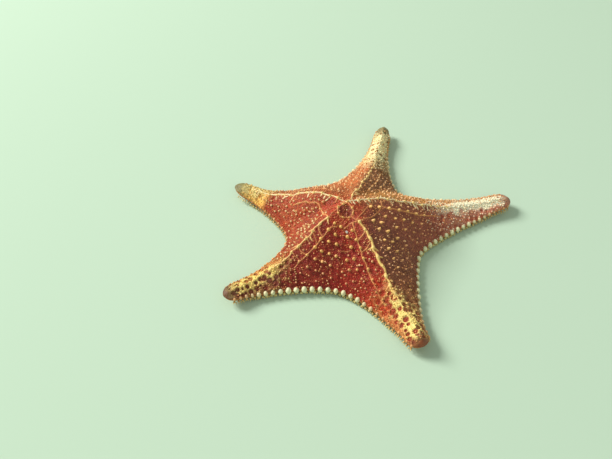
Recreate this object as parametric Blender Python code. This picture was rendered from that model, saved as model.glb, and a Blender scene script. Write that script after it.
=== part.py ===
"""Red cushion sea star, life size, resting on its underside with the mouth down.

Metres, +Z up. The model is built about the middle of its disc and then moved as a whole, so that
the origin is on the floor under the middle of its box. -Y is the side nearest the viewer.
Each arm has its own outline, because a living star holds its arms unevenly. The body is lofted in
lengths with thin cuts between them, and the tubercles and margin beads of each length are fused on.
"""

import math
import random
from collections import namedtuple

import bmesh
import bpy
from mathutils import Matrix, Vector
from mathutils.bvhtree import BVHTree

Arm = namedtuple(
    "Arm", "name heading reach bend end_half end_length half_fall fall_power pull_left pull_right"
)
Notch = namedtuple("Notch", "radius shift spread")
Cone = namedtuple("Cone", "radius tip_radius height")
Rows = namedtuple("Rows", "cone first apart step")

# Arms counter-clockwise from above: heading in degrees from +X, reach of the tip from the middle,
# sideways bend of the tip, half width and length of the rounded end, distance at which the crest
# has fallen half way, how sharply it falls there, and how strongly each margin is drawn out.
ARMS = (
    Arm("back", 67.0, 0.1460, 0.0115, 0.0074, 0.0170, 0.0600, 2.6, 0.080, 0.059),
    Arm("left", 150.0, 0.1165, 0.0052, 0.0078, 0.0170, 0.0550, 3.3, 0.035, 0.070),
    Arm("front_left", 218.0, 0.1240, -0.0085, 0.0078, 0.0110, 0.0505, 3.2, 0.040, 0.080),
    Arm("front_right", 296.0, 0.1260, -0.0030, 0.0086, 0.0085, 0.0610, 2.4, 0.036, 0.042),
    Arm("right", 372.5, 0.1585, 0.0020, 0.0082, 0.0110, 0.0670, 2.9, 0.069, 0.030),
)
# Notch between each arm and the next: distance from the middle, sideways shift and breadth.
NOTCHES = (
    Notch(0.0595, -0.0053, 0.062),
    Notch(0.0530, 0.0027, 0.041),
    Notch(0.0628, 0.0020, 0.062),
    Notch(0.0670, 0.0041, 0.048),
    Notch(0.0700, 0.0028, 0.047),
)

PEAK_HEIGHT = 0.0470  # middle of the disc
VALLEY_CURVE = 1.8  # power of the fall along the valley between two arms
SIDE_CURVE = 1.40  # power of the fall from an arm's crest to its margin
STEEP_FROM = 0.5  # shares of the way to the notch between which the round sides of the disc
STEEP_OVER = 0.8  # turn into the steep sides of an arm
END_HEIGHT = 0.0065  # height that a crest falls towards
MARGIN_TOP = 0.0070  # upper edge of the body's side wall
MARGIN_MID = 0.0042
MARGIN_LOW = 0.0012  # lower edge, a little above the floor
MARGIN_BULGE = 0.0012
TIP_MIDDLE = 0.0050  # height of the tip's point above the arm's own floor line
TIP_LIFT = 0.0040  # the ends turn up
LIFT_FROM = 0.72
RIDGE_RISE = 0.0012  # ridge along each crest
LINE_RISE = 0.0006  # fainter line beside it

GROOVE_HALF = 0.0036  # groove of the tube feet, at the mouth
GROOVE_HALF_END = 0.0016
GROOVE_DEPTH = 0.0045
GROOVE_DEPTH_END = 0.0020
BAND_WIDTH = 0.0035  # flat band beside the groove, which rests on the floor
MOUTH_RADIUS = 0.0090
MOUTH_DEPTH = 0.0060

# Places along an arm run from 0 at the middle of the disc to 1 at the tip.
AT_NOTCH = 0.36
AT_DISC_EDGE = 0.40
AT_HALF = 0.66
AT_ROUND_END = 0.92
AT_TIP_PLATE = 0.965
CUT_GAP = 0.0005  # thin cut between one length and the next, along the midline

DISC_STEPS = (0.0, 0.025, 0.055, 0.09, 0.14, 0.20, 0.26, 0.32, AT_NOTCH, AT_DISC_EDGE)
BASE_STEPS = 3
END_STEPS = 3
ROUND_STEPS = 2
TIP_STEPS = 3
COLUMN_SHARES = (1 / 3, 2 / 3, 1.0)  # of the width outside the band
LAST_COLUMN = 5
UNDER_RISE = (0.0, 0.0, 0.0, 0.2, 0.55, 1.0)
MERGE = 1e-6

# Tubercles stand in rows beside each crest, every second row half a step along.
CREST_CONE = Cone(0.0017, 0.0005, 0.0026)
SIDE_CONE = Cone(0.0015, 0.0004, 0.0023)
END_CONE = Cone(0.0012, 0.0004, 0.0016)
RING_CONE = Cone(0.0015, 0.0005, 0.0018)
MADREPORITE = Cone(0.0034, 0.0026, 0.0009)
CONE_SIDES = 5
MADREPORITE_SIDES = 9
ROOT_DEPTH = 0.0009
CREST_START = 0.14  # place where the crest rows begin, outside the central ring
CREST_STEP = 0.0080
END_STEP = 0.0074
# Side rows: kind of tubercle, distance of the first row from the crest, distance between rows and
# between the tubercles of one row. They stand closer on the arms' ends.
SIDE_ROWS = Rows(SIDE_CONE, 0.0092, 0.0078, 0.0096)
END_ROWS = Rows(END_CONE, 0.0062, 0.0062, 0.0074)
ROW_CLEARANCE = 0.0034  # from a row to the valley between arms, or to the margin
CUT_CLEARANCE = 0.0023  # from a tubercle's middle to a cut
ROW_SAMPLES = 48
RING_CENTRE = Vector((-0.0028, -0.0090))  # the ring round the vent lies a little in front
RING_RADIUS = 0.0072
MADREPORITE_ANGLE = 264.0  # in the valley between the two front arms
MADREPORITE_DISTANCE = 0.026
NORMAL_REACH = 0.0025  # distance over which the surface's slope is averaged
ABOVE_ALL = 0.1
SIZE_SPREAD = 0.12
LEAN_SPREAD = 0.14
SIDE_JITTER = 0.0005

# Beads along the margin, the upper row of marginal plates.
BEAD_STEP = 0.0065
BEAD_LONG = 0.0024
BEAD_OUT = 0.0020
BEAD_TALL = 0.0023
BEAD_HEIGHT = 0.0054
BEAD_OFFSET = 0.0004
BEAD_SIDES = 6
BEAD_RINGS = 3
SEED = 11

DISC_COLOUR = (0.30, 0.035, 0.020, 1.0)
ARM_COLOUR = (0.45, 0.075, 0.030, 1.0)
TIP_COLOUR = (0.20, 0.075, 0.035, 1.0)


def turned_left(way):
    return Vector((-way.y, way.x))


def heading_of(arm):
    angle = math.radians(arm.heading)
    return Vector((math.cos(angle), math.sin(angle)))


def clamp(value):
    return min(max(value, 0.0), 1.0)


def smooth(value):
    value = clamp(value)
    return value * value * (3.0 - 2.0 * value)


def midline(arm, distance):
    """Point and direction of an arm's midline, a parabola about its heading."""
    along = heading_of(arm)
    across = turned_left(along)
    point = along * distance + across * arm.bend * (distance / arm.reach) ** 2
    slope = along + across * (2.0 * arm.bend * distance / arm.reach**2)
    return point, slope.normalized()


def notch_point(index):
    """Deepest point between an arm and the next one."""
    arm = ARMS[index]
    after = ARMS[(index + 1) % len(ARMS)]
    half_turn = ((after.heading - arm.heading) % 360.0) / 2.0
    angle = math.radians(arm.heading + half_turn)
    outward = Vector((math.cos(angle), math.sin(angle)))
    notch = NOTCHES[index]
    return outward * notch.radius + turned_left(outward) * notch.shift


def hermite(u, start, start_pull, end, end_pull):
    """Point and slope of a cubic that leaves start and reaches end with the given pulls."""
    point = start * (2 * u**3 - 3 * u**2 + 1) + start_pull * (u**3 - 2 * u**2 + u)
    point += end * (3 * u**2 - 2 * u**3) + end_pull * (u**3 - u**2)
    slope = (start - end) * (6 * u**2 - 6 * u) + start_pull * (3 * u**2 - 4 * u + 1)
    slope += end_pull * (3 * u**2 - 2 * u)
    return point, slope


def margin(index, side, place):
    """Point and outward direction on the left (side 1) or right (side -1) outline of an arm."""
    arm = ARMS[index]
    notch_index = index if side > 0 else index - 1
    valley = notch_point(notch_index)
    if place <= AT_NOTCH:
        return valley * (place / AT_NOTCH), valley.normalized()
    if place > AT_ROUND_END:
        angle = (place - AT_ROUND_END) / (1.0 - AT_ROUND_END) * math.pi / 2
        distance = arm.reach - arm.end_length * (1.0 - math.sin(angle))
        centre, way = midline(arm, distance)
        across = turned_left(way) * side
        outward = way * arm.end_half * math.sin(angle) + across * arm.end_length * math.cos(angle)
        return centre + across * arm.end_half * math.cos(angle), outward.normalized()
    end_centre, end_way = midline(arm, arm.reach - arm.end_length)
    end = end_centre + turned_left(end_way) * side * arm.end_half
    leave = -turned_left(valley.normalized()) * side * NOTCHES[notch_index].spread
    arrive = end_way * (arm.pull_left if side > 0 else arm.pull_right)
    u = (place - AT_NOTCH) / (AT_ROUND_END - AT_NOTCH)
    point, slope = hermite(u, valley, leave, end, arrive)
    return point, (turned_left(slope) * side).normalized()


def distance_along(index, place):
    """Distance from the middle to the midline point of a place."""
    arm = ARMS[index]
    if place > AT_ROUND_END:
        angle = (place - AT_ROUND_END) / (1.0 - AT_ROUND_END) * math.pi / 2
        return arm.reach - arm.end_length * (1.0 - math.sin(angle))
    both = margin(index, 1, place)[0] + margin(index, -1, place)[0]
    return both.dot(heading_of(arm)) / 2.0


def crest_height(arm, distance):
    """Height of the crest: a flat-topped hump over the disc that runs out along the arm."""
    fallen = (distance / arm.half_fall) ** arm.fall_power
    return END_HEIGHT + (PEAK_HEIGHT - END_HEIGHT) / (1.0 + fallen)


def edge_height(place):
    """Height of the valley between two arms, down to the margin's upper edge at the notch."""
    inward = clamp(place / AT_NOTCH)
    return MARGIN_TOP + (PEAK_HEIGHT - MARGIN_TOP) * (1.0 - inward**VALLEY_CURVE)


def side_fall(place, share):
    """How high the upper side stands between edge (0) and crest (1): round inside, steep outside."""
    outer = clamp((place / AT_NOTCH - STEEP_FROM) / STEEP_OVER)
    round_side = 0.5 * (1.0 + math.cos(math.pi * share))
    return (1.0 - outer) * round_side + outer * (1.0 - share**SIDE_CURVE)


def columns(half_width, groove):
    """Distances from the midline of the columns of points on one side."""
    inner = (0.0, groove, groove + BAND_WIDTH)
    offsets = [min(value, half_width * k / LAST_COLUMN) for k, value in enumerate(inner)]
    band_edge = offsets[-1]
    offsets += [band_edge + (half_width - band_edge) * share for share in COLUMN_SHARES]
    return offsets


def end_shape(place):
    """Fullness of the rounded end: 1 along the arm, 0 at the tip's point."""
    if place <= AT_ROUND_END:
        return 1.0
    return math.cos((place - AT_ROUND_END) / (1.0 - AT_ROUND_END) * math.pi / 2)


def end_lift(index, place):
    """How far the upturned end stands above the floor."""
    reach_share = distance_along(index, place) / ARMS[index].reach
    return TIP_LIFT * smooth((reach_share - LIFT_FROM) / (1.0 - LIFT_FROM))


def half_section(index, side, place):
    """Upper, lower and wall points of one side of an arm's section, from the midline out."""
    arm = ARMS[index]
    distance = distance_along(index, place)
    centre = midline(arm, distance)[0]
    edge, outward = margin(index, side, place)
    half_width = (edge - centre).length
    fullness = end_shape(place)
    reach_share = distance / arm.reach
    lift = end_lift(index, place)
    groove = (GROOVE_HALF + (GROOVE_HALF_END - GROOVE_HALF) * reach_share) * fullness
    depth = GROOVE_DEPTH + (GROOVE_DEPTH_END - GROOVE_DEPTH) * reach_share
    crest = crest_height(arm, distance)
    valley = edge_height(place)
    inward = clamp(place / AT_NOTCH)
    groove_rise = (depth, 0.0, 0.0, 0.0, 0.0, 0.0)
    ridge_rise = (RIDGE_RISE, 0.0, LINE_RISE, 0.0, 0.0, 0.0)
    upper = []
    lower = []
    for k, offset in enumerate(columns(half_width, groove)):
        share = offset / half_width if half_width > MERGE else k / LAST_COLUMN
        spot = centre + (edge - centre) * share
        mouth = MOUTH_DEPTH * (1.0 - min(spot.length / MOUTH_RADIUS, 1.0) ** 2)
        top = valley + (crest - valley) * side_fall(place, share) + ridge_rise[k] * inward
        bottom = max(UNDER_RISE[k] * MARGIN_LOW * inward**2, groove_rise[k], mouth)
        for column, height in ((upper, top), (lower, bottom)):
            level = TIP_MIDDLE + (height - TIP_MIDDLE) * fullness + lift
            column.append(Vector((spot.x, spot.y, level)))
    wall = edge + outward * MARGIN_BULGE * fullness
    wall_height = TIP_MIDDLE + (MARGIN_MID - TIP_MIDDLE) * fullness + lift
    return upper, lower, Vector((wall.x, wall.y, wall_height))


def add_section(bm, index, place):
    """Points of a whole section: rows from left to right, and the two walls top to bottom."""
    left_upper, left_lower, left_wall = half_section(index, 1, place)
    right_upper, right_lower, right_wall = half_section(index, -1, place)
    upper = [bm.verts.new(point) for point in left_upper[:0:-1] + right_upper]
    lower = [bm.verts.new(point) for point in left_lower[:0:-1] + right_lower]
    walls = (
        [upper[0], bm.verts.new(left_wall), lower[0]],
        [upper[-1], bm.verts.new(right_wall), lower[-1]],
    )
    return upper, lower, walls


def add_strip(bm, near, far):
    for a, b, c, d in zip(near, near[1:], far[1:], far):
        bm.faces.new((a, b, c, d))


def add_cap(bm, section):
    """Flat cut face across an arm."""
    upper, lower, walls = section
    add_strip(bm, upper, lower)
    for wall in walls:
        bm.faces.new(wall)


def add_length(bm, index, places):
    """Loft along an arm. Inside the notch it has no walls, because the next arm joins there."""
    sections = [add_section(bm, index, place) for place in places]
    for place, near, far in zip(places, sections, sections[1:]):
        add_strip(bm, near[0], far[0])
        add_strip(bm, near[1], far[1])
        if place >= AT_NOTCH:
            add_strip(bm, near[2][0], far[2][0])
            add_strip(bm, near[2][1], far[2][1])
    return sections


def finish_body(bm):
    """Merge shared points and turn every face outward."""
    bmesh.ops.remove_doubles(bm, verts=bm.verts, dist=MERGE)
    bmesh.ops.recalc_face_normals(bm, faces=bm.faces)


def steps_between(start, end, count):
    return [start + (end - start) * k / count for k in range(count + 1)]


def disc_body():
    bm = bmesh.new()
    for index in range(len(ARMS)):
        sections = add_length(bm, index, DISC_STEPS)
        add_cap(bm, sections[-1])
    finish_body(bm)
    return bm


def length_body(index, places):
    """One length of an arm, cut at both ends, or a tip, cut only where it starts."""
    bm = bmesh.new()
    sections = add_length(bm, index, places)
    add_cap(bm, sections[0])
    if places[-1] < 1.0:
        add_cap(bm, sections[-1])
    finish_body(bm)
    return bm


def point_at(points, lengths, distance):
    """Point on a polyline at a distance from its start."""
    for near, far, start, end in zip(points, points[1:], lengths, lengths[1:]):
        if distance <= end:
            return near.lerp(far, (distance - start) / max(end - start, MERGE))
    return points[-1]


def even_points(points, step, phase):
    """Evenly spaced points on a polyline, clear of both its ends."""
    if len(points) < 2:
        return []
    lengths = [0.0]
    for near, far in zip(points, points[1:]):
        lengths.append(lengths[-1] + (far - near).length)
    total = lengths[-1]
    count = round(total / step)
    if total < 2.0 * CUT_CLEARANCE or count == 0:
        return []
    distances = [total * (k + phase) / count for k in range(count)]
    low, high = CUT_CLEARANCE, total - CUT_CLEARANCE
    return [point_at(points, lengths, min(max(d, low), high)) for d in distances]


def row_points(index, side, offset, start, end):
    """Polyline of one row, at a constant distance from the crest, between two cuts."""
    points = []
    for k in range(ROW_SAMPLES + 1):
        place = start + (end - start) * k / ROW_SAMPLES
        centre = midline(ARMS[index], distance_along(index, place))[0]
        edge = margin(index, side, place)[0]
        half_width = (edge - centre).length
        if half_width > offset + ROW_CLEARANCE:
            points.append(centre + (edge - centre) * (offset / half_width))
    return points


def surface_at(tree, spot):
    """Point on the body above a spot of the plan, and the averaged direction of its surface."""
    down = Vector((0.0, 0.0, -1.0))
    here = tree.ray_cast(Vector((spot.x, spot.y, ABOVE_ALL)), down)[0]
    direction = Vector((0.0, 0.0, 0.0))
    for step_x, step_y in ((1, 0), (-1, 0), (0, 1), (0, -1), (0, 0)):
        start = Vector((spot.x + NORMAL_REACH * step_x, spot.y + NORMAL_REACH * step_y, ABOVE_ALL))
        normal = tree.ray_cast(start, down)[1]
        if normal:
            direction += normal
    return here, direction.normalized()


def make_cone(tree, spot, cone, sides, draw):
    """Blunt cone that stands on the surface with its root sunk in."""
    here, direction = surface_at(tree, spot)
    size = 1.0 + draw.uniform(-SIZE_SPREAD, SIZE_SPREAD)
    lean = Vector((draw.uniform(-1, 1), draw.uniform(-1, 1), 0.0)) * LEAN_SPREAD
    direction = (direction + lean).normalized()
    depth = cone.height * size + ROOT_DEPTH
    turn = Matrix.Rotation(draw.uniform(0.0, math.tau), 4, "Z")
    upright = direction.to_track_quat("Z", "Y").to_matrix().to_4x4()
    place = Matrix.Translation(here + direction * (depth / 2.0 - ROOT_DEPTH))
    bm = bmesh.new()
    bmesh.ops.create_cone(
        bm,
        cap_ends=True,
        segments=sides,
        radius1=cone.radius * size,
        radius2=cone.tip_radius * size,
        depth=depth,
        matrix=place @ upright @ turn,
    )
    return bm


def crest_cones(tree, index, start, end, cone, step, draw):
    points = row_points(index, 1, 0.0, max(start, CREST_START), end)
    return [make_cone(tree, p, cone, CONE_SIDES, draw) for p in even_points(points, step, 0.5)]


def side_cones(tree, index, start, end, rows, draw):
    """Rows of tubercles on both sides of a crest, as far out as the body's width allows."""
    cones = []
    for side in (1, -1):
        offset = rows.first
        phase = 0.25
        points = row_points(index, side, offset, start, end)
        while points:
            for spot in even_points(points, rows.step, phase):
                jitter = Vector((draw.uniform(-1, 1), draw.uniform(-1, 1))) * SIDE_JITTER
                cones.append(make_cone(tree, spot + jitter, rows.cone, CONE_SIDES, draw))
            offset += rows.apart
            phase = 1.0 - phase
            points = row_points(index, side, offset, start, end)
    return cones


def outline_points(index, side, places):
    """Outline points of one side of an arm, each with its outward direction and lift."""
    return [(*margin(index, side, place), end_lift(index, place)) for place in places]


def beads_along(outline, draw):
    """Evenly spaced beads along a list of outline points."""
    beads = []
    for spot in even_points([point for point, outward, lift in outline], BEAD_STEP, 0.5):
        nearest = min(outline, key=lambda entry: (entry[0] - spot).length)
        beads.append(make_bead(spot, nearest[1], nearest[2], draw))
    return beads


def margin_beads(index, start, end, draw):
    """Beads along both outlines of an arm between two cuts."""
    places = steps_between(start, end, ROW_SAMPLES)
    beads = beads_along(outline_points(index, 1, places), draw)
    return beads + beads_along(outline_points(index, -1, places), draw)


def notch_beads(index, draw):
    """Beads on the disc's short stretch of outline, round the notch after an arm."""
    places = steps_between(AT_NOTCH, AT_DISC_EDGE, ROW_SAMPLES)
    after = (index + 1) % len(ARMS)
    before_notch = outline_points(index, 1, places[::-1])
    return beads_along(before_notch + outline_points(after, -1, places), draw)


def make_bead(spot, outward, lift, draw):
    size = 1.0 + draw.uniform(-SIZE_SPREAD, SIZE_SPREAD) / 2.0
    along = turned_left(outward)
    centre = spot + outward * BEAD_OFFSET
    frame = Matrix(
        (
            (along.x * BEAD_LONG * size, outward.x * BEAD_OUT * size, 0.0, centre.x),
            (along.y * BEAD_LONG * size, outward.y * BEAD_OUT * size, 0.0, centre.y),
            (0.0, 0.0, -BEAD_TALL * size, BEAD_HEIGHT + lift),
            (0.0, 0.0, 0.0, 1.0),
        )
    )
    bm = bmesh.new()
    bmesh.ops.create_uvsphere(
        bm, u_segments=BEAD_SIDES, v_segments=BEAD_RINGS, radius=1.0, matrix=frame
    )
    return bm


def disc_forms(body, draw):
    """Tubercles, central ring, sieve plate and margin beads of the disc."""
    tree = BVHTree.FromBMesh(body)
    angle = math.radians(MADREPORITE_ANGLE)
    spot = Vector((math.cos(angle), math.sin(angle))) * MADREPORITE_DISTANCE
    forms = [make_cone(tree, spot, MADREPORITE, MADREPORITE_SIDES, draw)]
    for index, arm in enumerate(ARMS):
        spot = RING_CENTRE + heading_of(arm) * RING_RADIUS
        forms.append(make_cone(tree, spot, RING_CONE, CONE_SIDES, draw))
        forms += crest_cones(tree, index, 0.0, AT_DISC_EDGE, CREST_CONE, CREST_STEP, draw)
        forms += side_cones(tree, index, 0.0, AT_DISC_EDGE, SIDE_ROWS, draw)
        forms += notch_beads(index, draw)
    return forms


def length_forms(body, index, start, end, crest, rows, draw):
    """Tubercles and margin beads of one length of an arm; crest is a cone and its spacing."""
    tree = BVHTree.FromBMesh(body)
    forms = crest_cones(tree, index, start, end, *crest, draw)
    forms += side_cones(tree, index, start, end, rows, draw)
    return forms + margin_beads(index, start, end, draw)


def keep_largest(mesh):
    """Drop every closed surface but the one with the most faces."""
    bm = bmesh.new()
    bm.from_mesh(mesh)
    waiting = set(bm.faces)
    surfaces = []
    while waiting:
        front = [waiting.pop()]
        surface = list(front)
        while front:
            neighbours = {f for edge in front.pop().edges for f in edge.link_faces}
            fresh = neighbours & waiting
            waiting -= fresh
            front.extend(fresh)
            surface.extend(fresh)
        surfaces.append(surface)
    surfaces.sort(key=len)
    for surface in surfaces[:-1]:
        bmesh.ops.delete(bm, geom=surface, context="FACES")
    bm.to_mesh(mesh)
    bm.free()


def fuse(item, forms):
    """Join the small forms to an object by one Boolean union, applied."""
    scene_collection = bpy.context.scene.collection
    group = bpy.data.collections.new(f"{item.name}_forms")
    scene_collection.children.link(group)
    for bm in forms:
        mesh = bpy.data.meshes.new("form")
        bm.to_mesh(mesh)
        bm.free()
        group.objects.link(bpy.data.objects.new("form", mesh))
    union = item.modifiers.new("forms", "BOOLEAN")
    union.operation = "UNION"
    union.operand_type = "COLLECTION"
    union.collection = group
    union.solver = "EXACT"
    evaluated = item.evaluated_get(bpy.context.evaluated_depsgraph_get())
    fused = bpy.data.meshes.new_from_object(evaluated)
    item.modifiers.clear()
    item.data = fused
    for form in list(group.objects):
        mesh = form.data
        bpy.data.objects.remove(form)
        bpy.data.meshes.remove(mesh)
    bpy.data.collections.remove(group)
    keep_largest(fused)


def make_material(name, colour, roughness):
    material = bpy.data.materials.new(name)
    material.use_nodes = True
    shader = material.node_tree.nodes["Principled BSDF"]
    shader.inputs["Base Color"].default_value = colour
    shader.inputs["Roughness"].default_value = roughness
    shader.inputs["Metallic"].default_value = 0.0
    return material


def make_object(name, bm, forms, material, collection):
    mesh = bpy.data.meshes.new(name)
    bm.to_mesh(mesh)
    bm.free()
    mesh.materials.append(material)
    item = bpy.data.objects.new(name, mesh)
    collection.objects.link(item)
    if forms:
        fuse(item, forms)
    return item


def make_arm(index, skin, tip_skin, collection, draw):
    """Two lengths and the plate at the tip of one arm."""
    arm = ARMS[index]
    gap = CUT_GAP / arm.reach
    base_places = steps_between(AT_DISC_EDGE + gap, AT_HALF, BASE_STEPS)
    end_places = steps_between(AT_HALF + gap, AT_ROUND_END, END_STEPS)
    end_places += steps_between(AT_ROUND_END, AT_TIP_PLATE, ROUND_STEPS)[1:]
    tip_places = steps_between(AT_TIP_PLATE + gap, 1.0, TIP_STEPS)
    items = []
    for part, places, crest, rows in (
        ("base", base_places, (CREST_CONE, CREST_STEP), SIDE_ROWS),
        ("end", end_places, (END_CONE, END_STEP), END_ROWS),
    ):
        body = length_body(index, places)
        forms = length_forms(body, index, places[0], places[-1], crest, rows, draw)
        items.append(make_object(f"arm_{arm.name}_{part}", body, forms, skin, collection))
    tip = length_body(index, tip_places)
    items.append(make_object(f"tip_{arm.name}", tip, [], tip_skin, collection))
    return items


def centre_on_floor(items):
    """Move the whole model so that the origin is under the middle of its box."""
    points = [vertex.co for item in items for vertex in item.data.vertices]
    middle_x = (min(p.x for p in points) + max(p.x for p in points)) / 2.0
    middle_y = (min(p.y for p in points) + max(p.y for p in points)) / 2.0
    for item in items:
        item.location = (-middle_x, -middle_y, 0.0)


def main():
    for item in list(bpy.data.objects):
        bpy.data.objects.remove(item)
    collection = bpy.data.collections.new("sea_star")
    bpy.context.scene.collection.children.link(collection)
    disc_skin = make_material("disc_skin", DISC_COLOUR, 0.55)
    arm_skin = make_material("arm_skin", ARM_COLOUR, 0.55)
    tip_skin = make_material("tip_skin", TIP_COLOUR, 0.45)
    draw = random.Random(SEED)
    disc = disc_body()
    items = [make_object("disc", disc, disc_forms(disc, draw), disc_skin, collection)]
    for index in range(len(ARMS)):
        items += make_arm(index, arm_skin, tip_skin, collection, draw)
    centre_on_floor(items)


main()
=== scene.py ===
import math

import bmesh
import bpy
import numpy as np
from mathutils import Matrix, Vector
from mathutils.geometry import delaunay_2d_cdt


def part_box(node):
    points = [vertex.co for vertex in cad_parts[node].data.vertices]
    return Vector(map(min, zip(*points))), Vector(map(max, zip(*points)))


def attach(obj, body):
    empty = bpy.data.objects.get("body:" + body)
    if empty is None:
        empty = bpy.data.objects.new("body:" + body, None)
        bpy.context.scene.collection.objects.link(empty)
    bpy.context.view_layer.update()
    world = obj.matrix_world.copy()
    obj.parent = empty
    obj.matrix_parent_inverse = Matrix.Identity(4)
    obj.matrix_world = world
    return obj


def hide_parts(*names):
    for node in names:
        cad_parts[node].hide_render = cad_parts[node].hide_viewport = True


# Red cushion sea star, life size. Metres. Shapes are worked out about the middle of the disc
# ("star" places) and moved to the frame's place when a piece is made.
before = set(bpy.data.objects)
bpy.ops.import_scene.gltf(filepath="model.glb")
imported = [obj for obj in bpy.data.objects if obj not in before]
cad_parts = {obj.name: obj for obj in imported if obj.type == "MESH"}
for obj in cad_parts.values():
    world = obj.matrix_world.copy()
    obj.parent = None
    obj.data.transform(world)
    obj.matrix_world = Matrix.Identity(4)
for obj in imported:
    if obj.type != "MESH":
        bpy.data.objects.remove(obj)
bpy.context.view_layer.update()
draw = np.random.default_rng(23)
mm = 0.001

# Arms counter-clockwise from above: heading in degrees, reach of the tip, sideways bend of the tip,
# half width and length of the round end, where and how sharply the crest falls, and how far each
# margin is drawn out. netFrom is the share of the reach where the pale net starts, step the spacing
# of the plates, shift how far the crest's line lies to the left of the middle. netLate is how much
# later the net starts on the arm's left side; netBand has the shares of the half width between
# which the net's paleness falls, and what is left of it beyond; turn has the places between which
# the ground's inner colour turns into the outer one.
arms = [
    dict(name="back", heading=67.0, reach=0.1460, bend=0.0115, endHalf=0.0074, endLength=0.0170,
         halfFall=0.0600, fallPower=2.6, pullLeft=0.080, pullRight=0.059,
         netFrom=0.57, netLate=0.0, netBand=(0.40, 0.80, 0.28), turn=(0.46, 0.80), step=0.0080,
         shift=-0.0022),
    dict(name="left", heading=150.0, reach=0.1165, bend=0.0052, endHalf=0.0078, endLength=0.0170,
         halfFall=0.0550, fallPower=3.3, pullLeft=0.035, pullRight=0.070,
         netFrom=0.74, netLate=0.0, netBand=(0.22, 0.50, 0.15), turn=(0.70, 0.77), step=0.0078, shift=0.0006),
    dict(name="front_left", heading=218.0, reach=0.1240, bend=-0.0085, endHalf=0.0078, endLength=0.0110,
         halfFall=0.0505, fallPower=3.2, pullLeft=0.040, pullRight=0.080,
         netFrom=0.60, netLate=0.0, netBand=(0.23, 0.56, 0.12), turn=(0.46, 0.80), step=0.0074, shift=0.0004),
    dict(name="front_right", heading=296.0, reach=0.1260, bend=-0.0030, endHalf=0.0086, endLength=0.0085,
         halfFall=0.0610, fallPower=2.4, pullLeft=0.036, pullRight=0.042,
         netFrom=0.62, netLate=0.09, netBand=(0.28, 0.58, 0.20), turn=(0.40, 0.70), step=0.0078,
         shift=-0.0007),
    dict(name="right", heading=372.5, reach=0.1585, bend=0.0020, endHalf=0.0082, endLength=0.0110,
         halfFall=0.0670, fallPower=2.9, pullLeft=0.069, pullRight=0.030,
         netFrom=0.56, netLate=0.0, netBand=(0.20, 0.46, 0.14), turn=(0.46, 0.80), step=0.0086,
         shift=-0.0009),
]
# Notch between each arm and the next: distance from the middle, sideways shift and breadth
notches = [
    dict(radius=0.0595, shift=-0.0053, spread=0.062),
    dict(radius=0.0530, shift=0.0027, spread=0.041),
    dict(radius=0.0628, shift=0.0020, spread=0.062),
    dict(radius=0.0670, shift=0.0041, spread=0.048),
    dict(radius=0.0700, shift=0.0028, spread=0.047),
]
form = dict(
    peakHeight=0.0470, endHeight=0.0065, valleyCurve=1.8, sideCurve=1.40, steepFrom=0.5, steepOver=0.8,
    marginTop=0.0070, marginBulge=0.0009, tipMiddle=0.0050, tipLift=0.0040, liftFrom=0.72,
    ridgeRise=0.0007, ridgeHalf=0.0024, atNotch=0.36, atRoundEnd=0.92,
    skinDepth=0.0006,  # the skin lies this far inside the solids, and its relief stands up from there
    underFlat=0.0018, underRise=0.0010, grooveHalf=0.0036, grooveHalfEnd=0.0016,
    grooveDepth=0.0060, grooveDepthEnd=0.0034, mouthRadius=0.0090, mouthDepth=0.0085,
)


def unit(way):
    # each vector over its own length
    return way / np.maximum(np.linalg.norm(way, axis=-1, keepdims=True), 1e-12)


def leftOf(way):
    # (x, y) turned a quarter to the left: (-y, x)
    return np.stack((-way[..., 1], way[..., 0]), -1)


def smooth(value, low, high):
    # 0 at low, 1 at high, and t * t * (3 - 2t) between them
    t = np.clip((value - low) / (high - low), 0, 1)
    return t * t * (3 - 2 * t)


def blend(first, last, share):
    # first + (last - first) * share
    return first + (last - first) * share


def mixed(first, second, share):
    # a blend of points or colours, with one share for each of them
    return blend(first, second, np.asarray(share)[..., None])


def wobble(shape, reach):
    # random numbers from -reach to reach
    return (draw.random(shape) * 2 - 1) * reach


def ahead(heading):
    # unit vector (cos, sin) of a heading in degrees
    angle = math.radians(heading)
    return np.array((math.cos(angle), math.sin(angle)))


def midline(arm, distance):
    # a parabola about the heading: along * s + across * bend * (s / reach)^2, and its slope
    along = ahead(arm["heading"])
    across = leftOf(along)
    s = np.asarray(distance)[..., None]
    point = along * s + across * arm["bend"] * (s / arm["reach"]) ** 2
    return point, unit(along + across * (2 * arm["bend"] * s / arm["reach"] ** 2))


def notchPoint(index):
    # outward bisector of two neighbouring headings * radius + its left * shift
    arm = arms[index % 5]
    after = arms[(index + 1) % 5]
    outward = ahead(arm["heading"] + ((after["heading"] - arm["heading"]) % 360) / 2)
    notch = notches[index % 5]
    return outward * notch["radius"] + leftOf(outward) * notch["shift"]


def endAngle(place):
    # 0 along the arm, growing to a quarter turn at the tip's point
    return np.clip((place - form["atRoundEnd"]) / (1 - form["atRoundEnd"]), 0, 1) * math.pi / 2


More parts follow.
